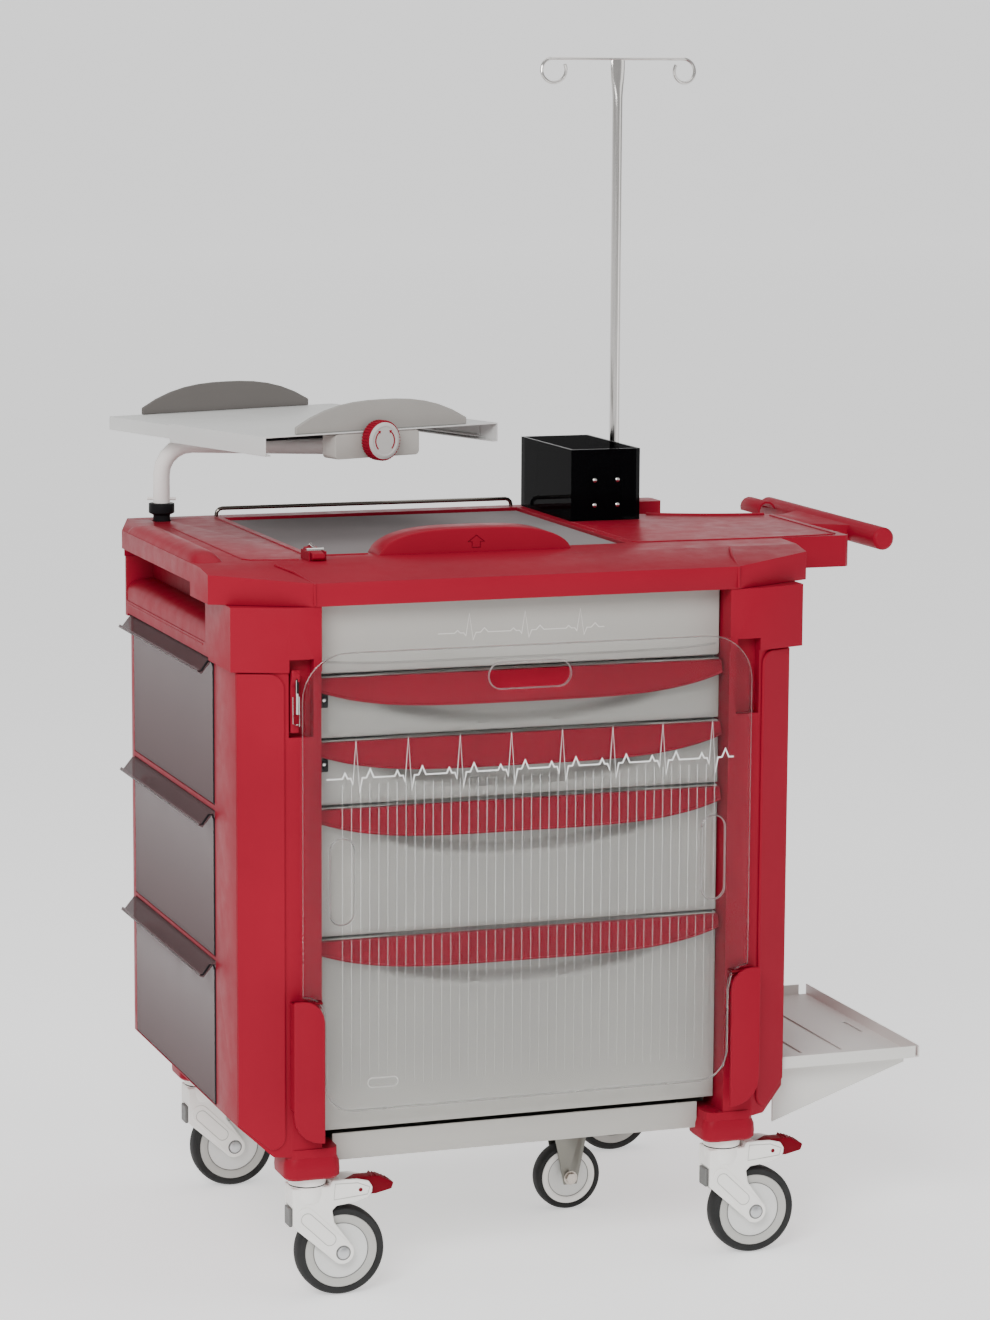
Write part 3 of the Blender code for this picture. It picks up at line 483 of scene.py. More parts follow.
def boots():
    """Rounded collars where the caster stems enter the shells."""
    levels = ((0.1728, 0.0365, 0.0345), (0.1760, 0.0392, 0.0372), (0.1840, 0.0398, 0.0378),
              (0.1940, 0.0392, 0.0372), (0.2030, 0.0362, 0.0342))
    for side, shell in ((-1, "left_side_shell"), (1, "right_side_shell")):
        x = side * STEM_X
        for k, y in enumerate(STEM_Y.values()):
            rings = [[(px, py, z) for px, py in round_rect(x - a, x + a, y - b, y + b, 0.017)]
                     for z, a, b in levels]
            detail(f"{shell}_boot_{k + 1}", loft(rings), RED, shell)


def pilasters():
    """Raised long panel on each post's chamfered face."""
    for sign, side, shell in ((-1, 0.403, "left_side_shell"), (1, 0.394, "right_side_shell")):
        start, end = Vector((sign * 0.338, -0.030, 0)), Vector((sign * side, -0.002, 0))
        along = (end - start).normalized()
        out = sign * Vector((along.y, -along.x, 0))
        far, near, radius, bottom, top = (end - start).length - 0.001, 0.005, 0.020, 0.2160, 0.8660
        outline = [(far, 0.250), (far, top)]
        outline += arc(near + radius, top - radius, radius, 90, 180, 8)
        outline += arc(near + radius, bottom + radius, radius, 180, 270, 6)
        bm = prism(outline, "Y", -0.0005, 0.0040)
        for v in bm.verts:
            u, w, z = v.co
            v.co = start + along * u + out * w + Vector((0, 0, z))
        detail(f"{shell}_panel", bm, RED, shell, 0.0030, 3)


def grip_bridge():
    """Round bar raised over the side hand-hold, and the bulged panel under it."""
    middle, half, spring = -0.40815, 0.02365, 0.9900

    def section(y, top):
        """A flat-bottomed arch across the bar at one place along it."""
        loop = [(middle + half, y, 0.9740), (middle - half, y, 0.9740)]
        for i in range(13):
            t = math.pi * i / 12
            lean = math.cos(t)
            loop.append((middle - half * math.copysign(abs(lean) ** 0.75, lean), y,
                         spring + (top - spring) * math.sin(t) ** 0.85))
        return loop

    stations = [(0.104, 0.9985), (0.112, 1.0030), (0.122, 1.0085), (0.136, 1.0120), (0.160, 1.0130),
                (0.440, 1.0130), (0.462, 1.0120), (0.476, 1.0085), (0.486, 1.0030), (0.494, 0.9985)]
    detail("side_grip_bar", loft([section(*s) for s in stations]), RED, "top_cover", 0.0, 2, 50)
    cheek = [(-0.3700, 0.8720), (-0.4085, 0.8720), (-0.4100, 0.8900)]
    cheek += [(-0.3820 - 0.0280 * math.cos(t), 0.9040 + 0.0180 * math.sin(t))
              for t in (0.0, 0.3, 0.6, 0.9, 1.2, math.pi / 2)]
    cheek += [(-0.3700, 0.9220)]
    detail("side_grip_cheek", prism(cheek, "Y", 0.1215, 0.5585), RED, "left_side_shell", 0.0015, 2, 40)
    ridge = [(-0.4104, y, 0.8860) for y in (0.135, 0.5, 0.545)]
    detail("side_grip_ridge", sweep(ridge, 0.0014), RED, "left_side_shell")


def top_details():
    """Thin raised border lines, the rim at the rear and the creases behind the apron."""
    z = TOP_HEIGHT
    lines = {
        "well_line": [(-0.2620, 0.600, z), (-0.2620, 0.150, z), (-0.2560, 0.141, z), (-0.175, 0.1385, z)],
        "deck_line": [(0.2230, 0.405, z), (0.2230, 0.160, z), (0.2290, 0.152, z), (0.4080, 0.146, z),
                      (0.5280, 0.156, z), (0.5370, 0.165, z), (0.5370, 0.400, z)],
        "post_line": [(-0.3560, 0.500, z), (-0.3560, 0.130, z), (-0.3480, 0.118, z), (-0.2840, 0.104, z)],
    }
    for name, route in lines.items():
        detail(f"top_{name}", sweep(route, 0.0014, 10), RED, "top_cover")
    curve = [(0.550 - 0.203 * t, 0.4140 + 0.062 * t * t, z + 0.0004) for t in (i / 12 for i in range(1, 12))]
    detail("top_rear_rim", sweep(curve, 0.0026, 10), RED, "top_cover")
    for sign in (-1, 1):
        corner = [(sign * 0.303, -0.0362, 0.9570), (sign * 0.303, -0.0362, 0.9840), (sign * 0.316, 0.020, 0.9945),
                  (sign * 0.330, 0.060, 0.9995)]
        side = "left" if sign < 0 else "right"
        detail(f"top_corner_line_{side}", sweep(corner, 0.0020, 10), RED, "top_cover")


# ---------------------------------------------------------------- drawers and door

def drawers():
    """Each drawer in two pieces: its box, and a front with a dished finger space behind the pull."""
    for k in (1, 2, 3, 4):
        node = f"drawer_{k}"
        low, high = local(node)
        half = high.x
        box = cleaned(node)
        bmesh.ops.bisect_plane(box, geom=box.verts[:] + box.edges[:] + box.faces[:],
                               plane_co=(0, FRONT_BACK + 0.0004, 0), plane_no=(0, 1, 0), clear_inner=True)
        bmesh.ops.holes_fill(box, edges=[e for e in box.edges if e.is_boundary])
        publish(f"drawer_{k}_box", box, PALE, body_of(node), 0.0008, 2, 30, [node])
        across, up = 96, max(12, int((high.z - low.z) / 0.0045))
        dish_top, dish_half, dish_tall, dish_deep = high.z - 0.030, 0.218, 0.046, 0.0150
        rim_back = 0.0016
        bm = bmesh.new()
        rows = []
        for j in range(up + 1):
            z = low.z + (high.z - low.z) * j / up
            row = []
            for i in range(across + 1):
                x = -half + 2 * half * i / across
                reach = (x / dish_half) ** 2 + (max(0.0, dish_top - z) / dish_tall) ** 2
                blend = min(1.0, max(0.0, (1.0 - reach) * 2.2))
                at_rim = min(half - abs(x), high.z - z, z - low.z) < 1e-6
                y = dish_deep * blend * blend * (3 - 2 * blend) + (rim_back if at_rim else 0.0)
                row.append(bm.verts.new((x, y, z)))
            rows.append(row)
        for a, b in zip(rows, rows[1:]):
            for i in range(across):
                bm.faces.new([a[i], a[i + 1], b[i + 1], b[i]])
        rim = rows[0] + [r[-1] for r in rows[1:]] + rows[-1][-2::-1] + [r[0] for r in rows[-2:0:-1]]
        back = [bm.verts.new((v.co.x, FRONT_BACK, v.co.z)) for v in rim]
        for i in range(len(rim)):
            j = (i + 1) % len(rim)
            bm.faces.new([rim[i], rim[j], back[j], back[i]])
        bm.faces.new(back)
        detail(f"drawer_{k}_face", bm, DRAWER, node, 0.0, 2, 50)


def drawer_mark():
    """Small raised-edge recess low on the bottom drawer."""
    loop = [(x, 0.0001, z) for x, z in pill(-0.1975, 0.292, 0.0215, 0.0065)]
    detail("drawer_4_recess", sweep(loop, 0.0009, 8, True), PALE, "drawer_4")


def pulls():
    """Bulged crescent pulls, open behind for the fingers."""
    down = (0.0, 0.03, 0.12, 0.25, 0.4, 0.55, 0.7, 0.82, 0.91, 0.97, 1.0)
    wall, lip_rise, shelf = 0.0034, 0.0022, 0.0065
    for k in (1, 2, 3, 4):
        node = f"drawer_pull_{k}"
        _, high = local(node)
        half = high.x
        sections, lip = [], []
        for s in (-1 + i / 24 for i in range(49)):
            drop = PULL_END_DROP + PULL_BELLY * (1 - abs(s) ** 4)
            full = 1 - abs(s) ** 6
            puff = 0.0090 * (0.55 + 0.45 * full)
            outer = [(-0.0095 - puff * math.sin(min(1.0, 1.25 * t) * math.pi / 2), high.z - drop * t) for t in down]
            inner = [(y + wall, z + (0.0 if n else lip_rise)) for n, (y, z) in enumerate(outer[::-1])]
            inner = [(y, min(z, high.z - shelf)) for y, z in inner]
            loop = outer + inner[:-1] + [(-0.0006, high.z - shelf), (-0.0006, high.z)]
            sections.append([(half * s, y, z) for y, z in loop])
            lip.append((half * s * 0.998, -0.0186 * (0.9 + 0.1 * full) + 0.0012, high.z - drop + lip_rise))
        publish(f"{node}_look", loft(sections), RED, body_of(node), 0.0010, 2, 38, [node])
        detail(f"{node}_lip", sweep(lip, 0.0017, 8), RED, node)


def fascia():
    """The panel above the drawers, with a raised line coloured darker as painted shade, and a small row of pulses.
    """
    refine("front_fascia", BEIGE, 0.0020)
    wave = [(-0.285 + 0.57 * i / 40, 0.8700 + 0.0060 * abs(2 * i / 40 - 1) ** 6) for i in range(41)]
    # Painted shade: the raised line takes the darker guard colour so that the relief's shading shows.
    detail("fascia_relief_painted_shade", ribbon(wave, 0.0030, -0.0007, 0.0010), GUARD, "front_fascia", 0.0004)
    detail("fascia_trace", ribbon(trace(-0.120, 0.120, 0.9060, 0.026, 3), 0.0013, -0.0003, 0.0010), PALE,
           "front_fascia")


def door():
    """The clear door with painted highlights along its cut edges and slot rims, and its print."""
    low, high = local("clear_door")
    refine("clear_door", CLEAR, 0.0)
    front, mid = low.y, 0.5 * (low.y + high.y)
    slots = {"top": (-0.0025, 0.852, 0.0590, 0.0182), "left": (-0.268, 0.583, 0.0172, 0.0592),
             "right": (0.268, 0.583, 0.0172, 0.0592)}
    # Painted highlight: bright strips round each slot, on the front face and the rear face.
    for name, (cx, cz, w, h) in slots.items():
        for tag, y in (("front", front + 0.0002), ("rear", high.y - 0.0002)):
            loop = [(x, y, z) for x, z in pill(cx, cz, w, h)]
            detail(f"door_slot_highlight_{name}_{tag}", sweep(loop, 0.0007, 8, True), EDGE_HIGHLIGHT, "clear_door")
    waist, notch, foot, fillet, shoulder, inset = 0.2930, 0.4275, 0.040, 0.030, 0.062, 0.0012
    right = arc(waist - foot, low.z + foot, foot, -90, 0, 9)
    right += [(waist, notch - 0.034)]
    right += arc(waist + fillet, notch - fillet, fillet, 165, 90, 5)
    right += [(high.x, notch)]
    right += arc(high.x - shoulder, high.z - shoulder, shoulder, 0, 90, 12)
    loop = [(x - math.copysign(inset, x), mid, z + (inset if z < 0.5 else -inset))
            for x, z in right + [(-x, z) for x, z in reversed(right)]]
    # Painted highlight: a bright line just inside the door's outline.
    detail("door_edge_highlight", sweep(loop, 0.0007, 8, True), EDGE_HIGHLIGHT, "clear_door")
    detail("door_trace", ribbon(trace(-0.290, 0.296, 0.7235, 0.052, 8), 0.0020, front - 0.0004, front - 0.0001),
           PRINT, "clear_door")
    lines = [block(x - 0.00050, x + 0.00050, front - 0.0003, front - 0.0001, 0.300, 0.7150)
             for x in (-0.268 + 0.536 * i / 42 for i in range(43))]
    detail("door_fine_lines", join(*lines), FADED, "clear_door")


def guards():
    """The two keepers the door drops into, with a dark ledge behind each top edge as painted shade in the opening.
    """
    for sign, node in ((-1, "door_guard_left"), (1, "door_guard_right")):
        _, high = local(node)
        refine(node, RED, 0.0030, 4)
        # Painted shade: a dark red ledge where the opening behind the guard's top edge lies in shadow.
        shelf = block(*sorted((sign * 0.2965, sign * 0.3360)), -0.0476, -0.0306, high.z - 0.0060, high.z - 0.0035)
        detail(f"{node}_shelf", shelf, RED_DEEP, node)


def door_catch():
    """The latch's own fittings, which turn with it, and the small catches at the top drawers' corners."""
    refine("door_latch", RED, 0.0014)
    x, y = -0.329, -0.022
    hook = [(x - 0.003, y - 0.010, 0.862), (x, y - 0.0125, 0.8695), (x + 0.0030, y - 0.0125, 0.8655),
            (x + 0.0032, y - 0.0125, 0.856)]
    detail("door_latch_hook", sweep(hook, 0.0020, 10), RED, "door_latch")
    rod = [(0, -0.030), (0.0022, -0.030), (0.0022, 0.030), (0, 0.030)]
    detail("door_latch_rod", revolve(rod, (x + 0.0018, y - 0.0115, 0.828), UP, 20), STEEL, "door_latch")
    detail("door_latch_bar", block(x + 0.0005, x + 0.0035, y - 0.0140, y - 0.0060, 0.840, 0.860), BLACK,
           "door_latch", 0.0008)
    bail = [(x - 0.0048, y - 0.0130, 0.836), (x - 0.0048, y - 0.0140, 0.800), (x + 0.0040, y - 0.0140, 0.796),
            (x + 0.0040, y - 0.0130, 0.836)]
    detail("door_latch_bail", sweep(bail, 0.0007, 8), STEEL, "door_latch")
    detail("door_latch_tag", block(x - 0.0050, x + 0.0042, y - 0.0146, y - 0.0126, 0.799, 0.812), RED_DEEP,
           "door_latch", 0.0006)
    screw = [(0, -0.0095), (0.0022, -0.0090), (0.0032, -0.0070), (0.0032, -0.006), (0, -0.006)]
    for k in (1, 2):
        node = f"drawer_{k}"
        z = local(node)[1].z - CATCH_DROP
        detail(f"{node}_catch", block(-0.2895, -0.2760, -0.0070, 0.001, z - 0.011, z + 0.009), BLACK, node, 0.0020)
        detail(f"{node}_catch_screw", revolve(screw, (-0.2828, 0, z)), STEEL, node)


# ---------------------------------------------------------------- bins

def bins():
    """Smoked tilt bins with a dark front edge, a painted highlight along the lip, a divider and the pivots behind.
    """
    for k in (1, 2, 3):
        node = f"tilt_bin_{k}"
        low, high = local(node)
        refine(node, SMOKED, 0.0)
        face, floor, top = -0.403, low.z, high.z
        edge = [(face, floor + 0.001), (face, top - 0.012), (face - 0.003, top - 0.004),
                (face - 0.008, top - 0.004), (face - 0.017, top - 0.0165), (low.x + 0.0017, top - 0.0170)]
        route = [(x, low.y + 0.0010, z) for x, z in edge]
        detail(f"{node}_edge", sweep(route, 0.0016, 8), BLACK, node)
        # Painted highlight: a bright strip along each bin's lip.
        lip = [(low.x + 0.0010, y, top - 0.0170)
               for y in (low.y + 0.001, 0.5 * (low.y + high.y), high.y - 0.001)]
        detail(f"{node}_lip", sweep(lip, 0.0009, 8), EDGE_HIGHLIGHT, node)
        divider = block(face + 0.0035, face + 0.0900, 0.398, 0.4005, floor + 0.0035, floor + 0.112)
        detail(f"{node}_divider", divider, SMOKED, node)
        for tag, y, r in (("boss", 0.490, 0.0150), ("stud", 0.405, 0.0050)):
            disc = revolve([(0, -0.004), (r * 0.8, -0.004), (r, -0.002), (r, 0.0), (0, 0.0)],
                           (-0.2925, y, floor + 0.034), SIDEWAYS, 24)
            detail(f"bin_{tag}_{k}", disc, RED_DEEP, "left_runner_panel")


# ---------------------------------------------------------------- swivel shelf and pole

def knob():
    """Ribbed locking knob with two curved arrows on its face, built along +Z and turned onto its joint's axis."""
    fact = next(j for j in frame["joints"] if j["name"] == "shelf_knob_turn")
    centre, axis = Vector(fact["pos_m"]) - SHIFT, Vector(fact["axis"]).normalized()
    turn = Matrix.Translation(centre) @ Matrix(
        ((-axis.y, 0, -axis.x, 0), (axis.x, 0, -axis.y, 0), (0, 1, 0, 0), (0, 0, 0, 1)))

    def put(bm):
        bmesh.ops.transform(bm, matrix=turn, verts=bm.verts)
        return bm

    def polar(radius, degrees):
        return radius * math.cos(math.radians(degrees)), radius * math.sin(math.radians(degrees))

    ribs, crest, valley = 40, 0.0289, 0.0277
    loop = []
    for i in range(ribs):
        for du, r in ((0.0, crest), (0.45, crest), (0.55, valley), (0.95, valley)):
            loop.append(polar(r, 360 * (i + du) / ribs))
    rings = [[(x * k, y * k, w) for x, y in loop]
             for k, w in ((0.93, 0.0012), (1.0, 0.0035), (1.0, 0.0170), (0.965, 0.0188))]
    publish("shelf_knob_grip", put(loft(rings)), RED, body_of("shelf_knob"), 0.0, 2, 40,
            ["shelf_knob"])
    face = [(0, 0.0206), (0.0195, 0.0206), (0.0207, 0.0213), (0.0222, 0.0213), (0.0236, 0.0206),
            (0.0262, 0.0192), (0.0262, 0.0180), (0, 0.0180)]
    detail("shelf_knob_face", put(revolve(face, (0, 0, 0), UP, 48)), GREY_FACE, "shelf_knob")
    hub = [(0, -0.0015), (0.008, -0.0015), (0.008, 0.0025), (0, 0.0025)]
    detail("shelf_knob_hub", put(revolve(hub, (0, 0, 0), UP, 24)), BLACK, "shelf_knob")
    for name, start, end in (("left", 130, 225), ("right", 50, -45)):
        outer = arc(0, 0, 0.0172, start, end, 10)
        inner = arc(0, 0, 0.0152, end, start, 10)
        beyond = start + (-14 if start > 90 else 14)
        head = [polar(0.0132, start), polar(0.0192, start), polar(0.0162, beyond)]
        arrow = join(prism(outer + inner, "Z", 0.0205, 0.0209), prism(head, "Z", 0.0205, 0.0209))
        detail(f"shelf_knob_arrow_{name}", put(arrow), RED, "shelf_knob")


def pole():
    """Sliding rod that flattens out at its head, two ring hooks on a cross wire, and the tube's collar."""
    x, y, foot = 0.3635, 0.600, local("iv_pole_rod")[0].z
    round_, sides = 0.0075, 32
    levels = ((foot, round_, round_), (foot + 0.003, round_, round_), (1.600, round_, round_),
              (1.618, 0.0078, 0.0066), (1.632, 0.0090, 0.0046), (1.645, 0.0106, 0.0034),
              (1.657, 0.0112, 0.0030), (1.670, 0.0112, 0.0030), (1.6725, 0.0106, 0.0024))
    turns = [2 * math.pi * i / sides for i in range(sides)]
    rings = [[(x + a * math.cos(t), y + b * math.sin(t), z) for t in turns] for z, a, b in levels]
    publish("iv_pole_rod_look", loft(rings), STEEL, body_of("iv_pole_rod"), 0.0, 2, 35,
            ["iv_pole_rod"])
    ring, half, top = 0.018, 0.105, 1.674
    for sign, side in ((-1, "left"), (1, "right")):
        route = [(x, y - 0.0002, top)]
        for a in range(0, 301, 12):
            t = math.radians(a)
            route.append((x + sign * (half + ring * math.sin(t)), y - 0.012 * a / 300,
                          top - ring + ring * math.cos(t)))
        detail(f"iv_pole_hook_{side}", sweep(route, 0.0025, 12), STEEL, "iv_pole_rod")
    collar = [(0.0112, 1.050), (0.0128, 1.052), (0.0128, 1.0635), (0.0112, 1.0655), (0.0085, 1.0655),
              (0.0085, 1.050)]
    detail("iv_pole_collar", revolve(collar, (x, y, 0), UP, 32), BLACK, "iv_pole_tube")


def box_screws():
    """Four round screw heads on the front of the acrylic box."""
    front = local("acrylic_box")[0].y
    dome = [(0, -0.0020), (0.0018, -0.0017), (0.0032, -0.0006), (0.0034, 0.0), (0, 0.0)]
    for i, x in enumerate((0.261, 0.297)):
        for j, z in enumerate((1.0230, 1.0600)):
            detail(f"box_screw_{i}{j}", revolve(dome, (x, front, z)), STEEL, "acrylic_box")


def lid_pull():
    """Flat-topped arch with steep shoulders."""
    low, high = local("lid_pull")
    middle, half, tall = 0.5 * (low.x + high.x), 0.5 * (high.x - low.x), high.z - low.z
    shoulder = 0.004
    sections = []
    for i in range(65):
        s = -1 + i / 32
        top = low.z + shoulder + (tall - shoulder) * (1 - abs(s) ** 3.4) ** 0.62
        r = min(0.0020, 0.3 * (top - low.z))
        loop = [(low.y, low.z), (low.y, top - r), (low.y + 0.3 * r, top - 0.3 * r), (low.y + r, top),
                (high.y - r, top), (high.y - 0.3 * r, top - 0.3 * r), (high.y, top - r), (high.y, low.z)]
        sections.append([(middle + half * s, y, z) for y, z in loop])
    publish("lid_pull_look", loft(sections), RED, body_of("lid_pull"), 0.0, 2, 45, ["lid_pull"])


def lid_details():
    """Arrow and foot of the lid pull, and the lid catch's keeper, barrel and claw."""
    low, high = local("lid_pull")
    x, y, z = -0.025, low.y - 0.0001, high.z - 0.019
    arrow = [(x - 0.006, y, z - 0.008), (x - 0.006, y, z), (x - 0.012, y, z), (x, y, z + 0.009), (x + 0.012, y, z),
             (x + 0.006, y, z), (x + 0.006, y, z - 0.008)]
    detail("lid_pull_arrow", sweep(arrow, 0.0006, 8, True), RED_DEEP, "lid_pull")
    foot = [(end, low.y + 0.003, TOP_HEIGHT + 0.0008) for end in (low.x + 0.003, high.x - 0.003)]
    detail("lid_pull_foot", sweep(foot, 0.0016, 8), RED, "lid_pull")
    cx = -0.263
    keeper = [block(cx - 0.0125, cx - 0.0100, 0.084, 0.124, 0.9995, 1.0130),
              block(cx + 0.0100, cx + 0.0125, 0.084, 0.124, 0.9995, 1.0130)]
    detail("lid_latch_keeper", join(*keeper), RED, "top_cover", 0.0010)
    barrel = revolve([(0, -0.0120), (0.0030, -0.0120), (0.0030, 0.0120), (0, 0.0120)], (cx, 0.0980, 1.0135),
                     SIDEWAYS, 20)
    claw = sweep([(cx, 0.100, 1.0165), (cx, 0.120, 1.0190), (cx, 0.134, 1.0130), (cx, 0.142, 1.0010)],
                 0.0018, 10)
    detail("lid_latch_claw", join(barrel, claw), STEEL, "lid_latch")


# ---------------------------------------------------------------- running gear

def rolling(node, ring_mat):
    """One wheel in four pieces; profiles are in fractions of its radius and of half its width."""
    low, high = local(node)
    centre, radius, half = 0.5 * (low + high), 0.5 * (high.z - low.z), 0.5 * (high.y - low.y)

    def turned(profile):
        return revolve([(radius * r, half * h) for r, h in profile], centre)

    tyre = [(0.800, -0.70), (0.825, -0.92), (0.88, -1.0), (0.94, -0.97), (0.975, -0.80), (0.996, -0.45), (1.0, 0.0),
            (0.996, 0.45), (0.975, 0.80), (0.94, 0.97), (0.88, 1.0), (0.825, 0.92), (0.800, 0.70)]
    publish(f"{node}_tyre", turned(tyre), TYRE, body_of(node), hides=[node])
    ring = [(0.600, -0.60), (0.640, -0.82), (0.655, -0.86), (0.800, -0.90), (0.826, -0.80), (0.826, 0.80),
            (0.800, 0.90), (0.655, 0.86), (0.640, 0.82), (0.600, 0.60)]
    detail(f"{node}_ring", turned(ring), ring_mat, node)
    hub = [(0.105, -0.80), (0.20, -0.80), (0.225, -0.66), (0.245, -0.62), (0.36, -0.60), (0.58, -0.70),
           (0.632, -0.72), (0.632, 0.72), (0.58, 0.70), (0.36, 0.60), (0.245, 0.62), (0.225, 0.66),
           (0.20, 0.80), (0.105, 0.80)]
    detail(f"{node}_hub", turned(hub), HUB, node)
    seam = [(0.610, -0.755), (0.668, -0.755), (0.668, 0.755), (0.610, 0.755)]
    detail(f"{node}_seam", turned(seam), GREY_PLASTIC, node)


def casters():
    """Fork, head, arms, axle caps and wheel of each caster, then the two brake pedals."""
    axle = (AXLE_TRAIL, AXLE_HEIGHT)
    leg = [(-0.0255, 0.1575), (-0.0255, 0.1040)] + arc(*axle, 0.0165, 222, 402, 14)
    leg += [(0.0330, 0.1060), (0.0300, 0.1230), (0.0360, 0.1290), (0.0600, 0.1315), (0.0800, 0.1370),
            (0.0866, 0.1440), (0.0872, 0.1520), (0.0820, 0.1600), (0.0660, 0.1640), (0.0300, 0.1655),
            (0.0265, 0.1575)]
    bridge = [(-0.0255, 0.1575), (-0.0255, 0.1290), (0.0440, 0.1290), (0.0440, 0.1650), (0.0290, 0.1650),
              (0.0265, 0.1575)]
    head = [(0.0090, 0.1585), (0.0258, 0.1585), (0.0262, 0.1575), (0.0262, 0.1460), (0.0235, 0.1360),
            (0.0090, 0.1360)]
    cap = [(0.0090, 0.1710), (0.0245, 0.1710), (0.0260, 0.1700), (0.0260, 0.1608), (0.0250, 0.1600),
           (0.0090, 0.1600)]
    stem = [(0, 0.2020), (0.0110, 0.2020), (0.0110, 0.1690), (0, 0.1690)]
    groove = [(0.0090, 0.1580), (0.0248, 0.1580), (0.0248, 0.1605), (0.0090, 0.1605)]
    arm = capsule(-0.008, 0.1180, 0.0130, *axle, 0.0150)
    arm_mark = capsule(-0.006, 0.1140, 0.0085, 0.026, 0.0830, 0.0085)
    housing_mark = [(0.058, 0.1400), (0.080, 0.1420), (0.083, 0.1520), (0.066, 0.1590), (0.034, 0.1600),
                    (0.032, 0.1380)]
    axle_cap = [(0, -0.0262), (0.0050, -0.0258), (0.0082, -0.0244), (0.0092, -0.0226), (0.0092, -0.0200),
                (0, -0.0200)]
    cap_ring = [(0.0092, -0.0231), (0.0104, -0.0231), (0.0104, -0.0200), (0.0092, -0.0200)]
    pin = [(0, -0.0228), (0.0024, -0.0225), (0.0030, -0.0215), (0.0030, -0.0200), (0, -0.0200)]
    for corner in ("front_left", "front_right", "rear_left", "rear_right"):
        node = f"caster_fork_{corner}"
        x = (-1 if "left" in corner else 1) * STEM_X
        y = STEM_Y["front" if "front" in corner else "rear"]
        hub = (x + AXLE_TRAIL, y, AXLE_HEIGHT)

        def plate(outline, start, end):
            return prism([(x + u, z) for u, z in outline], "Y", *sorted((y + start, y + end)))

        def ring(profile, sides):
            return revolve(profile, (x, y, 0), UP, sides)

        fork = join(plate(leg, -0.0217, -0.0165), plate(leg, 0.0165, 0.0217), plate(bridge, -0.0170, 0.0170))
        publish(f"{node}_look", fork, CREAM, body_of(node), 0.0018, 3, 30, [node])
        detail(f"{node}_head", join(ring(head, 48), ring(cap, 48)), CREAM, node, 0.0, 2, 40)
        detail(f"{node}_stem", ring(stem, 24), STEEL, node)
        detail(f"{node}_groove", ring(groove, 48), BLACK, node)
        arms, marks, caps, pins = [], [], [], []
        for sign in (-1, 1):
            arms.append(plate(arm, sign * 0.0212, sign * 0.0228))
            for outline, depth in ((arm_mark, 0.0227), (housing_mark, 0.0217)):
                marks.append(sweep([(x + u, y + sign * depth, z) for u, z in outline], 0.0006, 8, True))
            caps.append(revolve(axle_cap, hub, (0, -sign, 0), 32))
            pins.append(revolve(pin, (x + 0.070, y, 0.1490), (0, -sign, 0), 20))
        detail(f"{node}_arms", join(*arms), CREAM, node, 0.0006)
        detail(f"{node}_marks", join(*marks), RING, node)
        detail(f"{node}_caps", join(*caps), CAP, node)
        rings = [revolve(cap_ring, hub, (0, sign, 0), 32) for sign in (1, -1)]
        detail(f"{node}_cap_rings", join(*rings), GREY_PLASTIC, node)
        detail(f"{node}_pins", join(*pins), RED_DEEP if "front" in corner else STEEL, node)
        insert = block(x - 0.0285, x - 0.0235, y - 0.0120, y + 0.0120, 0.1020, 0.1280)
        detail(f"{node}_insert", insert, GREY_PLASTIC, node, 0.0015)
        rolling(f"wheel_{corner}", RING)
    for side, x in (("left", -STEM_X), ("right", STEM_X)):
        node = f"brake_pedal_front_{side}"
        refine(node, RED_DEEP, 0.0020, 3)
        teeth = []
        for i in range(6):
            u, z = x + 0.0880 + i * 0.0046, 0.1650 - 0.0012 * i - 0.00012 * i * i
            teeth.append(prism([(u, z - 0.004), (u + 0.0034, z - 0.004), (u + 0.0026, z + 0.0010)], "Y",
                               -0.0085, 0.0125))
        detail(f"{node}_teeth", join(*teeth), RED_DEEP, node)


def fifth():
    """The fixed fifth wheel and a nut and washer at each end of its axle."""
    refine("fifth_wheel_fork", ZINC, 0.0012)
    rolling("fifth_wheel", CREAM)
    x, y, z = FIFTH_AXLE
    hexagon = [(x + 0.0085 * math.cos(t), z + 0.0085 * math.sin(t)) for t in (math.pi / 3 * i for i in range(6))]
    washer = [(0.0040, 0), (0.0105, 0), (0.0105, 0.0012), (0.0040, 0.0012)]
    for sign, side in ((-1, "front"), (1, "rear")):
        nut = prism(hexagon, "Y", *sorted((y + sign * 0.0200, y + sign * 0.0262)))
        under = revolve(washer, (x, y + sign * 0.0200, z), (0, sign, 0), 32)
        detail(f"fifth_wheel_nut_{side}", join(nut, under), SATIN, "fifth_wheel_fork", 0.0006)


# ---------------------------------------------------------------- everything

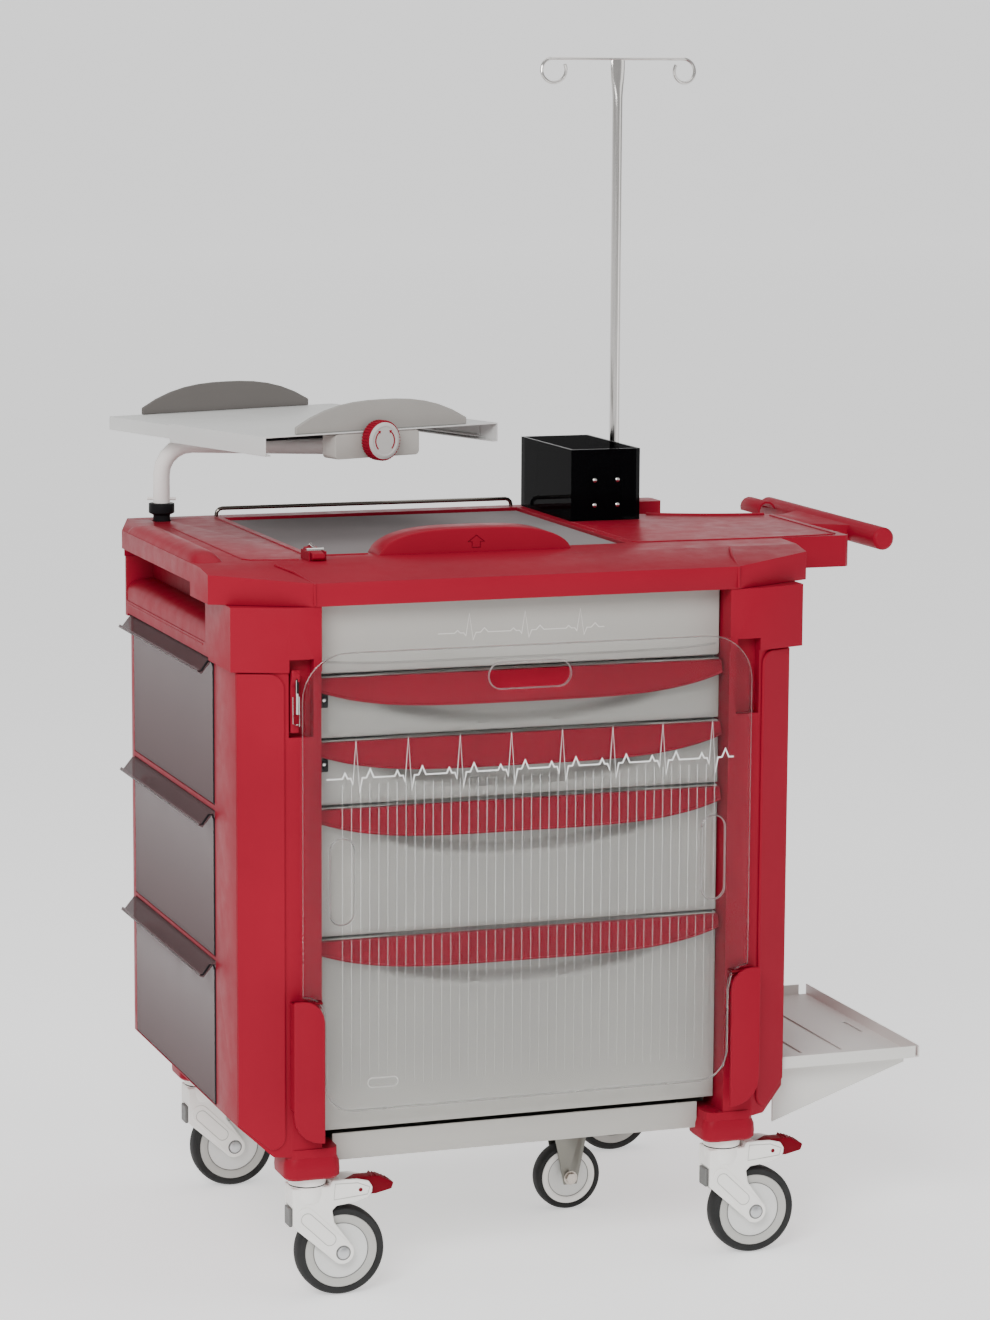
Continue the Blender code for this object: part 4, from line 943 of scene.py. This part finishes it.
# CAD nodes whose own shape is kept: the material and the width of the rounded edges
PLAIN = {
    "base_pan": (BEIGE, 0.0020), "left_side_shell": (RED, 0.0050), "right_side_shell": (RED, 0.0050),
    "back_panel": (BEIGE, 0.0008), "left_runner_panel": (PALE, 0.0005), "right_runner_panel": (PALE, 0.0005),
    "top_cover": (RED, 0.0045), "storage_tray": (BEIGE, 0.0012), "top_lid": (LID_TINT_AND_SHEEN, 0.0),
    "lid_latch": (RED, 0.0014), "rear_rail": (DARK_STEEL, 0.0),
    "push_handle": (RED, 0.0030), "cable_hook": (RED, 0.0010), "acrylic_box": (DARK_BOX, 0.0),
    "box_bracket_front": (BLACK, 0.0006), "box_bracket_rear": (BLACK, 0.0006),
    "iv_pole_tube": (STEEL, 0.0006), "iv_pole_clamp": (BLACK, 0.0020),
    "side_tray": (PALE, 0.0008), "side_tray_bracket": (PALE, 0.0010), "shelf_collar": (BLACK, 0.0010),
    "shelf_arm": (ARM, 0.0), "shelf_hub": (BLACK, 0.0015), "shelf_plate": (SHELF, 0.0006),
    "shelf_slider": (SHELF, 0.0006), "shelf_guard_front": (GUARD, 0.0018),
    # The rear guard takes the darker copy of the guard plastic: painted shade.
    "shelf_guard_rear": (GUARD_SHADED, 0.0018), "shelf_clamp": (BEIGE, 0.0025),
    "fifth_wheel_channel": (BEIGE, 0.0012),
}
for name, (skin, rounding) in PLAIN.items():
    refine(name, skin, rounding, 3)
for make in (boots, pilasters, grip_bridge, top_details, fascia, drawers, drawer_mark, pulls, door, guards,
             door_catch, bins, knob, pole, box_screws, lid_pull, lid_details, casters, fifth):
    make()


# ---------------------------------------------------------------- room, light and camera

def stage():
    """A pale floor that runs back a long way and turns up into a plain backdrop."""
    reach, turn_up, bend = 45.0, 28.0, 12.0
    bm = bmesh.new()
    profile = [(-reach, 0.0), (turn_up, 0.0)] + arc(turn_up, bend, bend, -90, -10, 16)[1:]
    rows = [[bm.verts.new((x, y, z)) for x in (-reach, reach)] for y, z in profile]
    for low, high in zip(rows, rows[1:]):
        bm.faces.new([low[0], low[1], high[1], high[0]])
    mesh = bpy.data.meshes.new("floor")
    bm.to_mesh(mesh)
    bm.free()
    mesh.shade_smooth()
    floor = bpy.data.objects.new("floor", mesh)
    bpy.context.scene.collection.objects.link(floor)
    n = Nodes("floor_paint")
    n.colour(n.noise(2.0, 2.0), [(0.3, 0.86), (0.7, 0.88)])
    n.set(Roughness=0.85, Specular_IOR_Level=0.1, Emission_Color=(1.0, 1.0, 1.0), Emission_Strength=0.70)
    mesh.materials.append(n.mat)


def area(name, place, aim, size, power):
    """A white rectangular light at a place, aimed at a point."""
    light = bpy.data.lights.new(name, "AREA")
    light.shape, light.size, light.size_y = "RECTANGLE", size[0], size[1]
    light.energy = power
    obj = bpy.data.objects.new(name, light)
    obj.location = place
    obj.rotation_euler = (Vector(aim) - Vector(place)).to_track_quat("-Z", "Y").to_euler()
    bpy.context.scene.collection.objects.link(obj)


def lights():
    """An even white sky, a key light from the front left and weaker lights at the right and overhead."""
    world = bpy.data.worlds.new("studio")
    bpy.context.scene.world = world
    world.use_nodes = True
    sky = world.node_tree.nodes["Background"]
    sky.inputs["Color"].default_value = (1.0, 1.0, 1.0, 1.0)
    sky.inputs["Strength"].default_value = 0.55
    area("key", (-2.4, -3.6, 3.2), (0.0, 0.0, 0.6), (2.4, 2.0), 190.0)
    area("fill", (3.2, -2.2, 1.8), (0.0, 0.0, 0.6), (1.8, 2.4), 18.0)
    area("top", (0.2, 0.4, 3.8), (0.0, 0.0, 0.8), (3.0, 3.0), 40.0)


def camera():
    """Front left of the cart, looking a little down at it."""
    yaw, pitch, roll = math.radians(19.38), math.radians(8.75), math.radians(-0.3)
    data = bpy.data.cameras.new("camera")
    data.sensor_width, data.lens = 36.0, 105.6
    data.clip_end = 60.0
    cam = bpy.data.objects.new("camera", data)
    turn = (Matrix.Rotation(-yaw, 4, "Z") @ Matrix.Rotation(math.pi / 2 - pitch, 4, "X")
            @ Matrix.Rotation(-roll, 4, "Z"))
    cam.matrix_world = Matrix.Translation(SHIFT + Vector((-1.759, -4.892, 1.665))) @ turn
    bpy.context.scene.collection.objects.link(cam)
    bpy.context.scene.camera = cam


stage()
lights()
camera()
